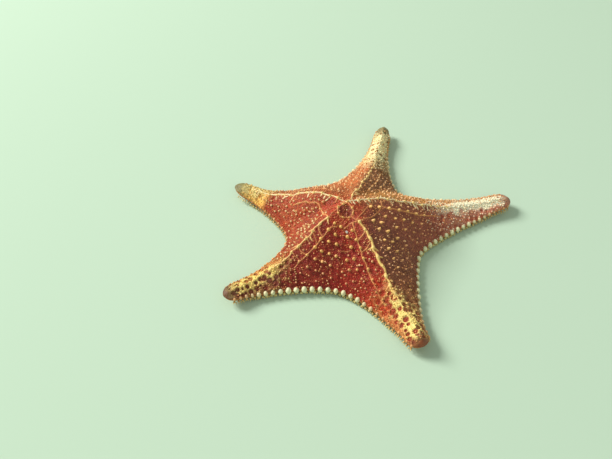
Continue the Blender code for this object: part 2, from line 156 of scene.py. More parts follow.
def margin(index, side, place):
    # Outline: straight to the notch, a cubic from the notch along the arm, a quarter ellipse at the end
    arm = arms[index]
    notch = index if side > 0 else index - 1
    valley = notchPoint(notch)
    outOfValley = unit(valley)
    angle = endAngle(place)
    sine, cosine = np.sin(angle)[..., None], np.cos(angle)[..., None]
    centre, way = midline(arm, arm["reach"] - arm["endLength"] * (1 - np.sin(angle)))
    across = leftOf(way) * side
    roundPoint = centre + across * arm["endHalf"] * cosine
    roundOut = unit(way * arm["endHalf"] * sine + across * arm["endLength"] * cosine)
    endCentre, endWay = midline(arm, arm["reach"] - arm["endLength"])
    end = endCentre + leftOf(endWay) * side * arm["endHalf"]
    leave = -leftOf(outOfValley) * side * notches[notch]["spread"]
    arrive = endWay * arm["pullLeft" if side > 0 else "pullRight"]
    u = np.clip((place - form["atNotch"]) / (form["atRoundEnd"] - form["atNotch"]), 0, 1)[..., None]
    flank = valley * (2 * u**3 - 3 * u**2 + 1) + leave * (u**3 - 2 * u**2 + u)
    flank = flank + end * (3 * u**2 - 2 * u**3) + arrive * (u**3 - u**2)
    slope = (valley - end) * (6 * u**2 - 6 * u) + leave * (3 * u**2 - 4 * u + 1) + arrive * (3 * u**2 - 2 * u)
    inside = (place <= form["atNotch"])[..., None]
    atEnd = (place > form["atRoundEnd"])[..., None]
    straight = valley * (place / form["atNotch"])[..., None]
    point = np.where(inside, straight, np.where(atEnd, roundPoint, flank))
    outward = np.where(inside, outOfValley, np.where(atEnd, roundOut, unit(leftOf(slope) * side)))
    return point, outward


def distanceAlong(index, place):
    # mean of both outlines' points measured along the heading, and the ellipse's own middle at the end
    arm = arms[index]
    angle = endAngle(place)
    both = margin(index, 1, place)[0] + margin(index, -1, place)[0]
    flank = both @ ahead(arm["heading"]) / 2
    return np.where(place > form["atRoundEnd"], arm["reach"] - arm["endLength"] * (1 - np.sin(angle)), flank)


def crossSection(index, side, place):
    # distance along the arm, point of its midline, point of its margin and the gap between the two
    distance = distanceAlong(index, place)
    centre = midline(arms[index], distance)[0]
    edge = margin(index, side, place)[0]
    return distance, centre, edge, np.linalg.norm(edge - centre, axis=-1)


def crestHeight(arm, distance):
    # flat-topped hump: end + (peak - end) / (1 + (distance / halfFall)^power)
    fallen = (distance / arm["halfFall"]) ** arm["fallPower"]
    return form["endHeight"] + (form["peakHeight"] - form["endHeight"]) / (1 + fallen)


def endFullness(place):
    # 1 along the arm, falling as a cosine to 0 at the tip's point
    return np.cos(endAngle(place))


def endLift(index, distance):
    # the ends turn up: tipLift * smooth step over the last part of the reach
    return form["tipLift"] * smooth(distance / arms[index]["reach"], form["liftFrom"], 1)


def crestShift(index, distance):
    # the crest's line lies to one side and wavers in two small waves, both dying out towards the tip
    wave = 0.0005 * np.sin(distance / 0.0043 + 2 * index) + 0.0004 * np.sin(distance / 0.0017 + index)
    toEnd = 1 - smooth(distance / arms[index]["reach"], 0.75, 0.95)
    return (arms[index]["shift"] * smooth(distance, 0.004, 0.02) + wave) * toEnd


def upperSide(index, side, place, share):
    # valley + (crest - valley) * fall, where the fall is a cosine on the disc and 1 - share^power on
    # the arms; a low ridge on the crest is added, and the whole flattens and lifts towards the tip
    distance, centre, edge, half = crossSection(index, side, place)
    inward = np.clip(place / form["atNotch"], 0, 1)
    valley = blend(form["marginTop"], form["peakHeight"], 1 - inward ** form["valleyCurve"])
    outer = np.clip((place / form["atNotch"] - form["steepFrom"]) / form["steepOver"], 0, 1)
    fall = (1 - outer) * (1 + np.cos(math.pi * share)) / 2 + outer * (1 - share ** form["sideCurve"])
    top = blend(valley, crestHeight(arms[index], distance), fall)
    ridge = form["ridgeRise"] * inward * np.exp(-((share * half / form["ridgeHalf"]) ** 2))
    ridge = ridge * (1 - share**4)
    top = top + ridge - form["skinDepth"]
    level = blend(form["tipMiddle"], top, endFullness(place)) + endLift(index, distance)
    return np.concatenate((mixed(centre, edge, share), level[..., None]), -1)


def grooveHalf(arm, distance):
    # half width of the groove, narrowing along the arm
    return blend(form["grooveHalf"], form["grooveHalfEnd"], np.clip(distance / arm["reach"], 0, 1))


def grooveDepth(out):
    # depth of the groove at a share of the reach
    return blend(form["grooveDepth"], form["grooveDepthEnd"], out)


def underRise(place, share):
    # how far the underside rises to the margin: rise * (place on the disc)^2 * share^3
    return form["underRise"] * np.clip(place / form["atNotch"], 0, 1) ** 2 * share**3


def lowerSide(index, side, place, share):
    # flat beside the groove and rising a little to the margin; the groove is depth * (1 - (x / half)^2),
    # and a bowl of the same kind is the mouth
    arm = arms[index]
    distance, centre, edge, armHalf = crossSection(index, side, place)
    fullness = endFullness(place)
    half = grooveHalf(arm, distance) * fullness + 1e-6
    depth = grooveDepth(np.clip(distance / arm["reach"], 0, 1))
    spot = mixed(centre, edge, share)
    low = form["underFlat"] + underRise(place, share)
    groove = depth * (1 - (share * armHalf / half) ** 2)
    mouth = form["mouthDepth"] * (1 - (np.linalg.norm(spot, axis=-1) / form["mouthRadius"]) ** 2)
    low = np.maximum(low, np.maximum(groove, mouth))
    level = blend(form["tipMiddle"], low, fullness) + endLift(index, distance)
    return np.concatenate((spot, level[..., None]), -1)


def outlineBox():
    # lowest and highest corner of the whole outline in plan, the wall's bulge included
    place = np.linspace(0, 1, 400)
    points = []
    for index in range(5):
        for side in (1, -1):
            point, outward = margin(index, side, place)
            points.append(point + outward * 0.0012 * endFullness(place)[:, None])
    points = np.concatenate(points)
    return points.min(0), points.max(0)


# The tips' boxes and the outline's box share their middle, which places the middle of the disc
outlineLow, outlineHigh = outlineBox()
tipBoxes = [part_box("tip_" + arm["name"]) for arm in arms]
tipLow = np.min([np.array(low)[:2] for low, high in tipBoxes], 0)
tipHigh = np.max([np.array(high)[:2] for low, high in tipBoxes], 0)
discCentre = np.array((*((tipLow + tipHigh) / 2 - (outlineLow + outlineHigh) / 2), 0.0))
print("disc centre", discCentre.round(5))


# Camera, as high over the star as the photo's, aimed so that the disc's middle falls where it does there
view = dict(imageWidth=612, imageHeight=459, elevation=50.87, distance=0.48185, fieldOfView=60.0,
            discAcross=345.92, discDown=235.87)


def makeCamera():
    # right, up and back are the camera's axes; the shift of the disc's middle from the picture's
    # middle, over the focal length in pixels, moves the camera sideways and up
    elevation = math.radians(view["elevation"])
    right = Vector((1, 0, 0))
    up = Vector((0, math.sin(elevation), math.cos(elevation)))
    back = Vector((0, -math.cos(elevation), math.sin(elevation)))
    focal = view["imageWidth"] / 2 / math.tan(math.radians(view["fieldOfView"]) / 2)
    across = (view["discAcross"] - view["imageWidth"] / 2) / focal
    over = (view["imageHeight"] / 2 - view["discDown"]) / focal
    camera = bpy.data.objects.new("camera", bpy.data.cameras.new("camera"))
    matrix = Matrix((right, up, back)).transposed().to_4x4()
    matrix.translation = Vector(discCentre) + view["distance"] * (back - right * across - up * over)
    camera.matrix_world = matrix
    camera.data.angle = math.radians(view["fieldOfView"])
    bpy.context.scene.collection.objects.link(camera)
    bpy.context.scene.camera = camera


makeCamera()
bpy.context.view_layer.update()


# Plan of the star as a square grid of cells, on which heights, relief and colours are worked out
plan = dict(step=0.0003, border=0.004, placeCount=620, shareCount=170)
planLow = outlineLow - plan["border"]
planSize = np.ceil((outlineHigh - outlineLow + 2 * plan["border"]) / plan["step"]).astype(int)


def softened(layer, times):
    # each cell becomes the mean of itself and its four neighbours, some times over
    for turn in range(times):
        padded = np.pad(layer, 1, mode="edge")
        layer = (padded[:-2, 1:-1] + padded[2:, 1:-1] + padded[1:-1, :-2] + padded[1:-1, 2:] + layer) / 5
    return layer


def blurred(layer, reach):
    # three box means in each direction, from running sums, come close to a bell curve
    width = 2 * reach + 1
    for turn in range(3):
        for axis in (0, 1):
            pad = [(0, 0)] * layer.ndim
            pad[axis] = (reach + 1, reach)
            run = np.cumsum(np.pad(layer, pad, mode="edge"), axis)
            onward = np.take(run, range(width, run.shape[axis]), axis)
            layer = (onward - np.take(run, range(run.shape[axis] - width), axis)) / width
    return layer


def gather(spots, values):
    # mean of the values that fall in each cell; empty cells near filled ones take their neighbours' mean
    cell = np.floor((spots - planLow) / plan["step"]).astype(int)
    flat = cell[:, 0] * planSize[1] + cell[:, 1]
    size = planSize[0] * planSize[1]
    count = np.bincount(flat, minlength=size).astype(float)
    total = np.stack([np.bincount(flat, weights=column, minlength=size) for column in values.T], -1)
    result = (total / np.maximum(count, 1)[:, None]).reshape(*planSize, -1)
    filled = count.reshape(planSize) > 0
    inside = softened(filled.astype(float), 2) > 0.35
    for spread in range(8):
        known = np.concatenate((result, np.ones((*planSize, 1))), -1) * filled[..., None]
        known = np.pad(known, ((1, 1), (1, 1), (0, 0)))
        near = known[:-2, 1:-1] + known[2:, 1:-1] + known[1:-1, :-2] + known[1:-1, 2:]
        fresh = ~filled & (near[..., -1] > 0)
        result[fresh] = near[fresh][:, :-1] / near[fresh][:, -1:]
        filled = filled | fresh
    return result, filled, inside


def sampled(layer, spots):
    # value of a layer at places of the plan, weighted between the four nearest cells
    at = (spots - planLow) / plan["step"] - 0.5
    base = np.clip(np.floor(at).astype(int), 0, planSize - 2)
    part = np.clip(at - base, 0, 1)
    x, y = base[..., 0], base[..., 1]
    u, v = part[..., 0], part[..., 1]
    if layer.ndim == 3:
        u, v = u[..., None], v[..., None]
    near = layer[x, y] * (1 - v) + layer[x, y + 1] * v
    far = layer[x + 1, y] * (1 - v) + layer[x + 1, y + 1] * v
    return near * (1 - u) + far * u


def patches(spots, scale, seed):
    # value noise from 0 to 1: random numbers on a grid of that scale, blended with a smooth step
    table = np.random.default_rng(seed).random((67, 61))
    at = spots / scale + 1000
    base = np.floor(at).astype(int)
    part = at - base
    part = part * part * (3 - 2 * part)
    x0, y0 = base[..., 0] % 67, base[..., 1] % 61
    x1, y1 = (x0 + 1) % 67, (y0 + 1) % 61
    u, v = part[..., 0], part[..., 1]
    near = table[x0, y0] * (1 - v) + table[x0, y1] * v
    far = table[x1, y0] * (1 - v) + table[x1, y1] * v
    return near * (1 - u) + far * u


def paint(red, green, blue):
    # linear colour of a paint named in the usual 0 to 255 steps
    value = np.array((red, green, blue)) / 255
    return np.where(value <= 0.04045, value / 12.92, ((value + 0.055) / 1.055) ** 2.4)


# Ground colours of each arm's two sides, near the disc and towards the end, the pale net of its
# end, the hollows in that net and the bare tip. The two sides' ground colours differ partly by the
# animal's own colour and partly by painted shade: the sides turned away from the key light (back's
# right, front_left's left, front_right's left and right's right) are painted in duller, browner and
# mostly darker colours.
markingsAndSideShade = dict(
    back=dict(left=(paint(194, 106, 54), paint(222, 140, 68)),
              right=(paint(140, 86, 52), paint(156, 124, 68)),
              net=paint(255, 244, 186), hollow=(paint(176, 118, 56), paint(144, 108, 56)),
              tip=paint(136, 116, 66)),
    left=dict(left=(paint(160, 56, 20), paint(240, 186, 88)), right=(paint(166, 88, 42), paint(194, 154, 76)),
              net=paint(255, 232, 150), hollow=(paint(206, 138, 54), paint(186, 136, 64)),
              tip=paint(134, 122, 68)),
    front_left=dict(left=(paint(140, 32, 21), paint(124, 52, 30)),
                    right=(paint(158, 54, 22), paint(202, 124, 52)),
                    net=paint(255, 228, 132), hollow=(paint(124, 64, 38), paint(160, 100, 46)),
                    tip=paint(112, 74, 46)),
    front_right=dict(left=(paint(138, 80, 62), paint(160, 98, 62)),
                     right=(paint(150, 30, 18), paint(192, 64, 22)),
                     net=paint(255, 228, 136), hollow=(paint(170, 104, 60), paint(148, 56, 22)),
                     tip=paint(150, 80, 46)),
    right=dict(left=(paint(176, 122, 58), paint(198, 136, 74)),
               right=(paint(158, 88, 68), paint(206, 106, 76)),
               net=paint(255, 250, 216), hollow=(paint(190, 124, 78), paint(176, 84, 60)),
               tip=paint(176, 118, 90)),
)
centrePaint = dict(around=paint(178, 60, 30), middle=paint(122, 38, 24), inner=0.010, outer=0.024)
linePaint = dict(crest=paint(255, 218, 136), side=paint(250, 176, 108))

# Pale ring of bars round the vent, a little in front of the peak: corners listed in millimetres
ringCorners = np.array(((-1.0, -1.0), (-7.5, -5.0), (-10.0, -8.0), (-9.5, -13.5), (-4.0, -15.5), (2.0, -15.0),
                        (3.5, -10.0), (1.0, -5.0))) * mm
ringCentre = ringCorners.mean(0)


def groundColour(index, side, place, share, spots):
    # inner to outer colour along the arm; half of the other side's at the crest, half of the next
    # arm's at the valley, and the middle of the disc laid over
    arm = arms[index]
    sideName, otherName = ("left", "right") if side > 0 else ("right", "left")
    marksAndSideShade = markingsAndSideShade[arm["name"]]
    beside = markingsAndSideShade[arms[(index + side) % 5]["name"]][otherName][0]
    along = smooth(place + 0.05 * (patches(spots, 0.004, 7) - 0.5), *arm["turn"])
    # own is this side's paint; on the sides turned away from the key light it holds painted shade as well as
    # the animal's own colour
    own = mixed(marksAndSideShade[sideName][0], marksAndSideShade[sideName][1], along)
    other = mixed(marksAndSideShade[otherName][0], marksAndSideShade[otherName][1], along)
    own = mixed(own, other, 0.5 * (1 - smooth(share, 0, 0.10)))
    onDisc = 1 - smooth(place, form["atNotch"] - 0.02, form["atNotch"] + 0.04)
    own = mixed(own, beside, 0.5 * smooth(share, 0.66, 1) * onDisc)
    radius = np.linalg.norm(spots - ringCentre, axis=-1) + 0.006 * (patches(spots, 0.006, 5) - 0.5)
    inMiddle = 0.8 * (1 - smooth(radius, centrePaint["inner"], centrePaint["outer"]))
    return mixed(own, centrePaint["around"], inMiddle)


def layPlan():
    # every arm's two sides are sampled finely and gathered into the cells of the plan
    place = np.linspace(0, 1, plan["placeCount"])[:, None] + np.zeros(plan["shareCount"])
    share = np.linspace(0, 1, plan["shareCount"])[None] + np.zeros((plan["placeCount"], 1))
    one = np.ones_like(place)[..., None]
    spots, values = [], []
    for index, arm in enumerate(arms):
        marksAndSideShade = markingsAndSideShade[arm["name"]]
        for side in (1, -1):
            points = upperSide(index, side, place, share)
            flat = points[..., :2]
            ground = groundColour(index, side, place, share, flat)
            ragged = distanceAlong(index, place) / arm["reach"] + 0.06 * (patches(flat, 0.006, 8) - 0.5)
            late = arm["netLate"] * smooth(share, 0.0, 0.25) if side > 0 else 0.0
            zone = smooth(ragged - late, arm["netFrom"] - 0.15, arm["netFrom"] - 0.07)
            zone = zone * (1 - smooth(place, 0.945, 0.965))
            bandLow, bandHigh, beyond = arm["netBand"]
            across = (share + 0.35 * (patches(flat, 0.005, 9) - 0.5)) / (1 + 0.9 * smooth(place, 0.62, 0.86))
            nearCrest = 1 - smooth(across, bandLow, bandHigh)
            pale = smooth(ragged - late, arm["netFrom"] - 0.11, arm["netFrom"] + 0.10)
            pale = pale * (beyond + (1 - beyond) * nearCrest)
            tip = smooth(place + 0.03 * (patches(flat, 0.002, 10) - 0.5), 0.904, 0.962)
            single = [layer[..., None] for layer in (points[..., 2], place, share, zone, pale, tip)]
            hollow = marksAndSideShade["hollow"][0 if side > 0 else 1]
            row = np.concatenate((*single, ground, one * marksAndSideShade["net"], one * hollow, one * marksAndSideShade["tip"]), -1)
            spots.append(flat.reshape(-1, 2))
            values.append(row.reshape(-1, row.shape[-1]))
    return gather(np.concatenate(spots), np.concatenate(values))


print("plan of", planSize, "cells")
layers, filledPlan, insideStar = layPlan()
height = softened(layers[..., 0], 2)
placeLayer, shareLayer, netZone, netPale, tipZone = (layers[..., k] for k in range(1, 6))
groundLayer, netColour, hollowColour, tipColour = (layers[..., k:k + 3] for k in (6, 9, 12, 15))
relief = np.zeros(planSize)
paleLines = np.zeros(planSize)
cells = np.stack(np.meshgrid(*(planLow[k] + (np.arange(planSize[k]) + 0.5) * plan["step"] for k in (0, 1)),
                             indexing="ij"), -1)

# Rows of plates beside each crest: full distance of each row from the crest on either side, and how
# they draw together towards the disc. The first row of a side is a pale line as far as paleTo.
rows = dict(drawn=0.005, over=0.017, clearance=0.0028, jitter=0.0006, samples=500, minorFrom=0.042,
            minorShare=0.52, start=0.0165, crowding=0.0040, places=(0.005, 0.95))
usualRows = (0.0102, 0.0170, 0.0232, 0.0294, 0.0354)
sides = {
    ("back", 1): dict(full=(0.0082, 0.0150, 0.0215, 0.0280, 0.0345), paleTo=0.072, pale=0.45, size=0.64),
    ("back", -1): dict(full=(0.0108, 0.0172, 0.0235, 0.0298, 0.0360), paleTo=0.080, pale=0.60, size=0.72),
    ("left", 1): dict(full=(0.0088, 0.0152, 0.0218, 0.0284, 0.0350), paleTo=0.050, pale=0.80, size=0.78),
    ("left", -1): dict(full=usualRows, paleTo=0.060, pale=0.50, size=0.66),
    ("front_left", 1): dict(full=usualRows, paleTo=0.066, pale=0.70, size=1.0),
    ("front_left", -1): dict(full=(0.0088, 0.0152, 0.0216, 0.0280, 0.0344), paleTo=0.040, pale=0.45,
                             size=0.84),
    ("front_right", 1): dict(full=(0.0138, 0.0222, 0.0294, 0.0362), paleTo=0.0, pale=0.0, size=1.0),
    ("front_right", -1): dict(full=(0.0108, 0.0174, 0.0236, 0.0296, 0.0356), paleTo=0.082, pale=0.75,
                              size=1.0),
    ("right", 1): dict(full=usualRows, paleTo=0.070, pale=0.60, size=0.66),
    ("right", -1): dict(full=(0.0094, 0.0164, 0.0236, 0.0300, 0.0360), paleTo=0.086, pale=0.90, size=1.0),
}
armIndex = {arm["name"]: index for index, arm in enumerate(arms)}


def rowLine(index, side, full, start, end):
    # places at the row's distance from the crest, full * (1 - exp(-(s + drawn) / over)), wherever the
    # half width leaves room, with their share of the way to the tip
    place = np.linspace(*rows["places"], rows["samples"])
    distance, centre, edge, half = crossSection(index, side, place)
    offset = full * (1 - np.exp(-(distance + rows["drawn"]) / rows["over"]))
    offset = offset + side * crestShift(index, distance) * (1 if full == 0 else 0.4)
    keep = (half > offset + rows["clearance"]) & (distance >= start) & (distance <= end)
    return (centre + unit(edge - centre) * offset[:, None])[keep], place[keep]


def runOf(points, steps=1):
    # distance run along a polyline at each of its points, counted in steps of the given lengths
    return np.concatenate(([0], np.cumsum(np.linalg.norm(np.diff(points, axis=0), axis=-1) / steps)))


def readAt(at, run, columns):
    # each column's value at the given distances of the run
    return np.stack([np.interp(at, run, column) for column in columns.T], -1)


def alongLine(points, values, step, phase):
    # places one step apart on a polyline, and its values there
    if len(points) < 8:
        return np.zeros((0, 2)), np.zeros(0)
    run = runOf(points)
    at = np.arange(phase * step, run[-1], step)
    return readAt(at, run, points), np.interp(at, run, values)


def rounded(points, spacing):
    # a polyline with its corners cut three times, then divided evenly
    for turn in range(3):
        near, far = points[:-1], points[1:]
        middle = np.stack((near * 0.75 + far * 0.25, near * 0.25 + far * 0.75), 1).reshape(-1, 2)
        points = np.vstack((points[:1], middle, points[-1:]))
    run = runOf(points)
    at = np.linspace(0, run[-1], max(4, int(run[-1] / spacing)))
    return readAt(at, run, points)


# Pale lines of the skeleton. Each starts with corners listed in millimetres and then follows its
# row from a distance on; half is its half width, pale how far it stands out from the ground and
# spurs the share of its places for a spur that have one.
crestLines = [
    dict(arm=0, start=((-1, -1), (1.5, 1.5), (3.5, 10.5)), onward=0.017, half=0.00048, pale=0.75, spurs=0.45,
         colour=paint(255, 228, 156)),
    dict(arm=1, start=((-1, -1), (-4, -0.5), (-11, 5), (-16, 8)), onward=0.023, half=0.00062, pale=0.95,
         spurs=0.55, colour=paint(255, 234, 178)),
    dict(arm=2, start=((-17, -15), (-20.5, -16.5)), onward=0.031, half=0.00062, pale=0.92, spurs=0.30,
         colour=paint(255, 206, 134)),
    dict(arm=3, start=((7, -19), (8.5, -21.5)), onward=0.029, half=0.00088, pale=1.0, spurs=0.35,
         colour=paint(255, 214, 124)),
    dict(arm=4, start=((-1, -1), (6.5, 1.5), (14, 2), (20, 4)), onward=0.027, half=0.00066, pale=0.95,
         spurs=0.90, colour=paint(255, 238, 188)),
]
sideLines = {
    ("left", 1): dict(start=((-17, -15), (-20.5, -11.5), (-22, -5), (-23.5, 0.5)), onward=0.027),
    ("front_left", 1): dict(start=((-9, -21.5), (-13, -21.5), (-17, -23.5)), onward=0.033),
    ("front_right", -1): dict(start=((2, -20), (3.5, -23.5), (4.5, -29.5)), onward=0.036),
    ("right", -1): dict(start=((27.5, 5.5), (27, 1.5), (27.5, -1.5)), onward=0.033),
}
linkLines = [
    dict(points=((27, -1.5), (24, -6.5), (20.5, -11), (15.5, -14.5), (8, -19)), half=0.00038, pale=0.55),
    dict(points=((17.5, -1), (14, -6), (10.5, -11), (6, -17.5)), half=0.00036, pale=0.45),
    dict(points=((7, -19), (2, -20), (-2, -21.5), (-5.5, -24)), half=0.00042, pale=0.65),
    dict(points=((12, -26.5), (10, -30.5), (5, -34)), half=0.00048, pale=0.75),
    dict(points=((16, -35.5), (13.5, -40), (8.5, -42)), half=0.00045, pale=0.65),
    dict(points=((-25, -19), (-26, -23.5), (-22, -28.5)), half=0.00040, pale=0.55),
    dict(points=((-31.5, -24), (-28.5, -28), (-27.5, -32.5)), half=0.00036, pale=0.45),
    dict(points=((-42, -31.5), (-42.5, -35), (-35.5, -38.5)), half=0.00036, pale=0.50),
    dict(points=((-48, -36), (-44.5, -39.5), (-42, -42)), half=0.00036, pale=0.45),
    dict(points=((-10.5, -38), (-5, -39.5), (0.5, -39)), half=0.00032, pale=0.35),
    dict(points=((-10, -8.5), (-14, -11), (-17, -15)), half=0.00036, pale=0.40),
    dict(points=((-7.5, -5), (-14, -3), (-22, -5)), half=0.00032, pale=0.35),
    dict(points=((3.5, -10), (9, -8), (14, -6)), half=0.00032, pale=0.30),
    dict(points=((14, 2), (17.5, -1), (22, -3), (24, -6.5)), half=0.00034, pale=0.40),
    dict(points=((-4, -15.5), (-7, -19), (-9, -21.5)), half=0.00030, pale=0.30),
    dict(points=((2, -15), (4.5, -17.5), (7, -19)), half=0.00038, pale=0.50),
    dict(points=((3.5, 10.5), (-3, 10), (-11, 5)), half=0.00034, pale=0.45),
    dict(points=((3.5, 10.5), (9.5, 8), (14, 2)), half=0.00034, pale=0.45),
]


def cordPath(points):
    # the rounded polyline, moved a little to and fro by slow noise
    path = rounded(points, 0.0007)
    drift = [patches(path, 0.0042, seed) + 0.5 * patches(path, 0.0019, seed + 2) for seed in (73, 74)]
    return path + 0.0010 * (np.stack(drift, -1) - 0.75)


def allLines():
    # every pale line as its path with a half width, height, paleness, size of knots and colour
    side = dict(knots=0.7, colour=linePaint["side"])
    found = [dict(path=cordPath(np.vstack((ringCorners, ringCorners[:1]))), half=0.00038, tall=0.0005,
                  pale=0.60, **side)]
    for line in crestLines:
        arm = arms[line["arm"]]
        row = rowLine(line["arm"], 1, 0, line["onward"], arm["netFrom"] * arm["reach"] * 1.12)[0]
        path = cordPath(np.vstack((np.array(line["start"]) * mm, row[::4])))
        found.append(dict(path=path, half=line["half"], tall=line["half"] * 1.1, pale=line["pale"],
                          knots=1.0, colour=line["colour"]))
    for (name, direction), line in sides.items():
        if line["paleTo"] == 0:
            continue
        begin = sideLines.get((name, direction), dict(start=(), onward=0.020))
        row = rowLine(armIndex[name], direction, line["full"][0], begin["onward"], line["paleTo"])[0]
        path = cordPath(np.vstack((np.array(begin["start"]).reshape(-1, 2) * mm, row[::4])))
        found.append(dict(path=path, half=0.00038, tall=0.00048, pale=line["pale"], **side))
    for line in linkLines:
        path = cordPath(np.array(line["points"]) * mm)
        found.append(dict(path=path, half=line["half"], tall=line["half"] * 1.1, pale=line["pale"], **side))
    return found


paleLinePaths = allLines()


def plateRows(spots, place, kind, size):
    # columns of one row of plates: x, y, kind of row, place, size
    count = len(spots)
    return np.column_stack((spots, np.full(count, kind), np.zeros(count) + place, np.full(count, size)))


def allPlates():
    # plates on the ring and the crests (kind 1 and 0), on the pale side rows (2), the outer rows (3)
    # and a row of small ones between the crest and the first side row (4)
    circle = paleLinePaths[0]["path"]
    found = [plateRows(circle[:: max(1, len(circle) // 8)][:8], 0.05, 1, 0.70)]
    for index, arm in enumerate(arms):
        path = paleLinePaths[1 + index]["path"]
        spots, place = alongLine(path, sampled(placeLayer, path), arm["step"], 0.15)
        found.append(plateRows(spots, place, 0, 0.80))
    for (name, side), row in sides.items():
        index = armIndex[name]
        arm = arms[index]
        netStart = (arm["netFrom"] - 0.08) * arm["reach"]
        for number, full in enumerate(row["full"]):
            end = netStart if number == 0 else netStart * 1.10
            line = rowLine(index, side, full, rows["start"], end)
            spots, place = alongLine(*line, arm["step"], (0.35 + 0.5 * (number % 2) + 0.17 * index) % 1)
            spots = spots + wobble(spots.shape, rows["jitter"])
            size = row["size"] * (0.92 if number == 0 else 1.0)
            found.append(plateRows(spots, place, 2 if number == 0 else 3, size))
        line = rowLine(index, side, row["full"][0] * rows["minorShare"], rows["minorFrom"], netStart)
        spots, place = alongLine(*line, arm["step"] * 0.85, 0.5)
        found.append(plateRows(spots, place, 4, 0.60))
    return np.concatenate(found)


def withoutCrowding(plates, distance):
    # drops a plate that stands closer than the distance to an earlier one
    gap = np.linalg.norm(plates[:, None, :2] - plates[None, :, :2], axis=-1)
    keep = np.ones(len(plates), bool)
    for k in range(len(plates)):
        if keep[k]:
            close = gap[k] < distance
            close[:k + 1] = False
            keep[close] = False
    return plates[keep]


plates = withoutCrowding(allPlates(), rows["crowding"])
print(len(plates), "plates of the skeleton")


def windowOf(low, high):
    # slices of the plan that cover a box, and the places of their cells
    first = np.floor((low - planLow) / plan["step"]).astype(int).clip(0, planSize - 1)
    last = np.ceil((high - planLow) / plan["step"]).astype(int).clip(0, planSize - 1)
    window = (slice(first[0], last[0] + 1), slice(first[1], last[1] + 1))
    return window, cells[window]


def drawWelt(p, q, half, tall, pale):
    # low rounded welt from p to q: tall * exp(-(d / width)^2), and its stain
    window, spots = windowOf(np.minimum(p, q) - 0.003, np.maximum(p, q) + 0.003)
    along = np.clip(((spots - p) @ (q - p)) / max((q - p) @ (q - p), 1e-12), 0, 1)
    gap = np.linalg.norm(spots - (p + along[..., None] * (q - p)), axis=-1)
    relief[window] = np.maximum(relief[window], tall * np.exp(-((gap / (half * 1.9)) ** 2)))
    paleLines[window] = np.maximum(paleLines[window], pale * (1 - smooth(gap, half * 0.7, half * 1.5)))


# Welts between neighbouring plates: longest one, sideways bend, half width, height and paleness
welts = dict(longest=0.0125, bend=0.16, half=0.0006, tall=0.00045, pale=0.04, paler=0.14)


def drawSkeleton():
    # faint welts between neighbouring plates, and stronger ones under the pale lines
    spots = [Vector(p) for p in plates[:, :2]]
    edges = np.array([sorted(edge) for edge in delaunay_2d_cdt(spots, [], [], 0, 1e-7)[1]])
    p, q = plates[edges[:, 0], :2], plates[edges[:, 1], :2]
    length = np.linalg.norm(p - q, axis=-1)
    kept = (length < welts["longest"]) & (sampled(insideStar.astype(float), (p + q) / 2) > 0.99)
    luck = draw.random(len(edges))
    for a, b, chance in zip(p[kept], q[kept], luck[kept]):
        bend = (a + b) / 2 + leftOf(b - a) * welts["bend"] * (chance - 0.5)
        for start, end in ((a, bend), (bend, b)):
            drawWelt(start, end, welts["half"], welts["tall"], welts["pale"] + welts["paler"] * chance**2)
    for line in paleLinePaths:
        path = line["path"][::3]
        for a, b in zip(path, path[1:]):
            drawWelt(a, b, line["half"] * 1.3, line["tall"] * 0.6, line["pale"] * 0.75)


drawSkeleton()

# Round hollows in the net of each arm's end, in rows beside the crest. They shrink towards the tip.
# armSizes and missing have one value for each arm: the size of its hollows, and the share of them
# that is left out of the three rows nearest the crest. before is how much of the reach the rows
# start ahead of the net, and places the part of the arm they are sought in.
hollows = dict(pitch=0.0056, pitchEnd=0.0038, firstRow=0.0027, apart=0.0047, size=0.41, spread=0.30,
               depth=0.0011,
               rowCount=7, before=0.14, places=(0.30, 0.955), jitter=0.0009, plateau=0.0005,
               clearance=0.0010, dome=0.0005, closer=0.16,
               armSizes=(0.76, 0.80, 1.0, 1.0, 0.74), missing=(0.50, 0.60, 0.30, 0.28, 0.70))


def netHollows():
    # centres and radii of the hollows: pitch falls from the net's start to the tip, radius with it
    found = []
    place = np.linspace(*hollows["places"], 400)
    toEnd = smooth(place, 0.55, 0.95)
    for index, arm in enumerate(arms):
        for side, row in ((side, row) for side in (1, -1) for row in range(hollows["rowCount"])):
            distance, centre, edge, half = crossSection(index, side, place)
            inNet = distance > (arm["netFrom"] - hollows["before"]) * arm["reach"]
            offset = (hollows["firstRow"] + row * hollows["apart"]) * (1 - hollows["closer"] * toEnd)
            keep = inNet & (half > offset + hollows["clearance"])
            if keep.sum() < 8:
                continue
            offset = offset + side * crestShift(index, distance)
            points = (centre + unit(edge - centre) * offset[:, None])[keep]
            local = blend(hollows["pitch"], hollows["pitchEnd"], toEnd)[keep]
            run = runOf(points, local[1:])
            at = np.arange(0.2 + 0.5 * ((row + (side > 0)) % 2), run[-1], 1)
            columns = np.column_stack((points, local * hollows["size"] * hollows["armSizes"][index]))
            spots = readAt(at, run, columns)
            spots[:, :2] += wobble((len(at), 2), hollows["jitter"])
            spots[:, 2] *= 1 + wobble(len(at), hollows["spread"])
            found.append(spots[draw.random(len(at)) > hollows["missing"][index] * (row < 3)])
    return np.concatenate(found)


hollowSpots = netHollows()
hollowMask = np.zeros(planSize)
hollowDome = np.zeros(planSize)


def drawHollows():
    # each hollow is 1 inside its radius and fades over its rim; a dome stands on its floor
    for x, y, radius in hollowSpots:
        middle = np.array((x, y))
        window, spots = windowOf(middle - 0.0035, middle + 0.0035)
        gap = np.linalg.norm(spots - middle, axis=-1) * (0.88 + 0.24 * patches(spots, 0.0021, 61))
        hollowMask[window] = np.maximum(hollowMask[window], 1 - smooth(gap, 0.78 * radius, 1.08 * radius))
        hollowDome[window] = np.maximum(hollowDome[window], 1 - smooth(gap, 0, 0.8 * radius))


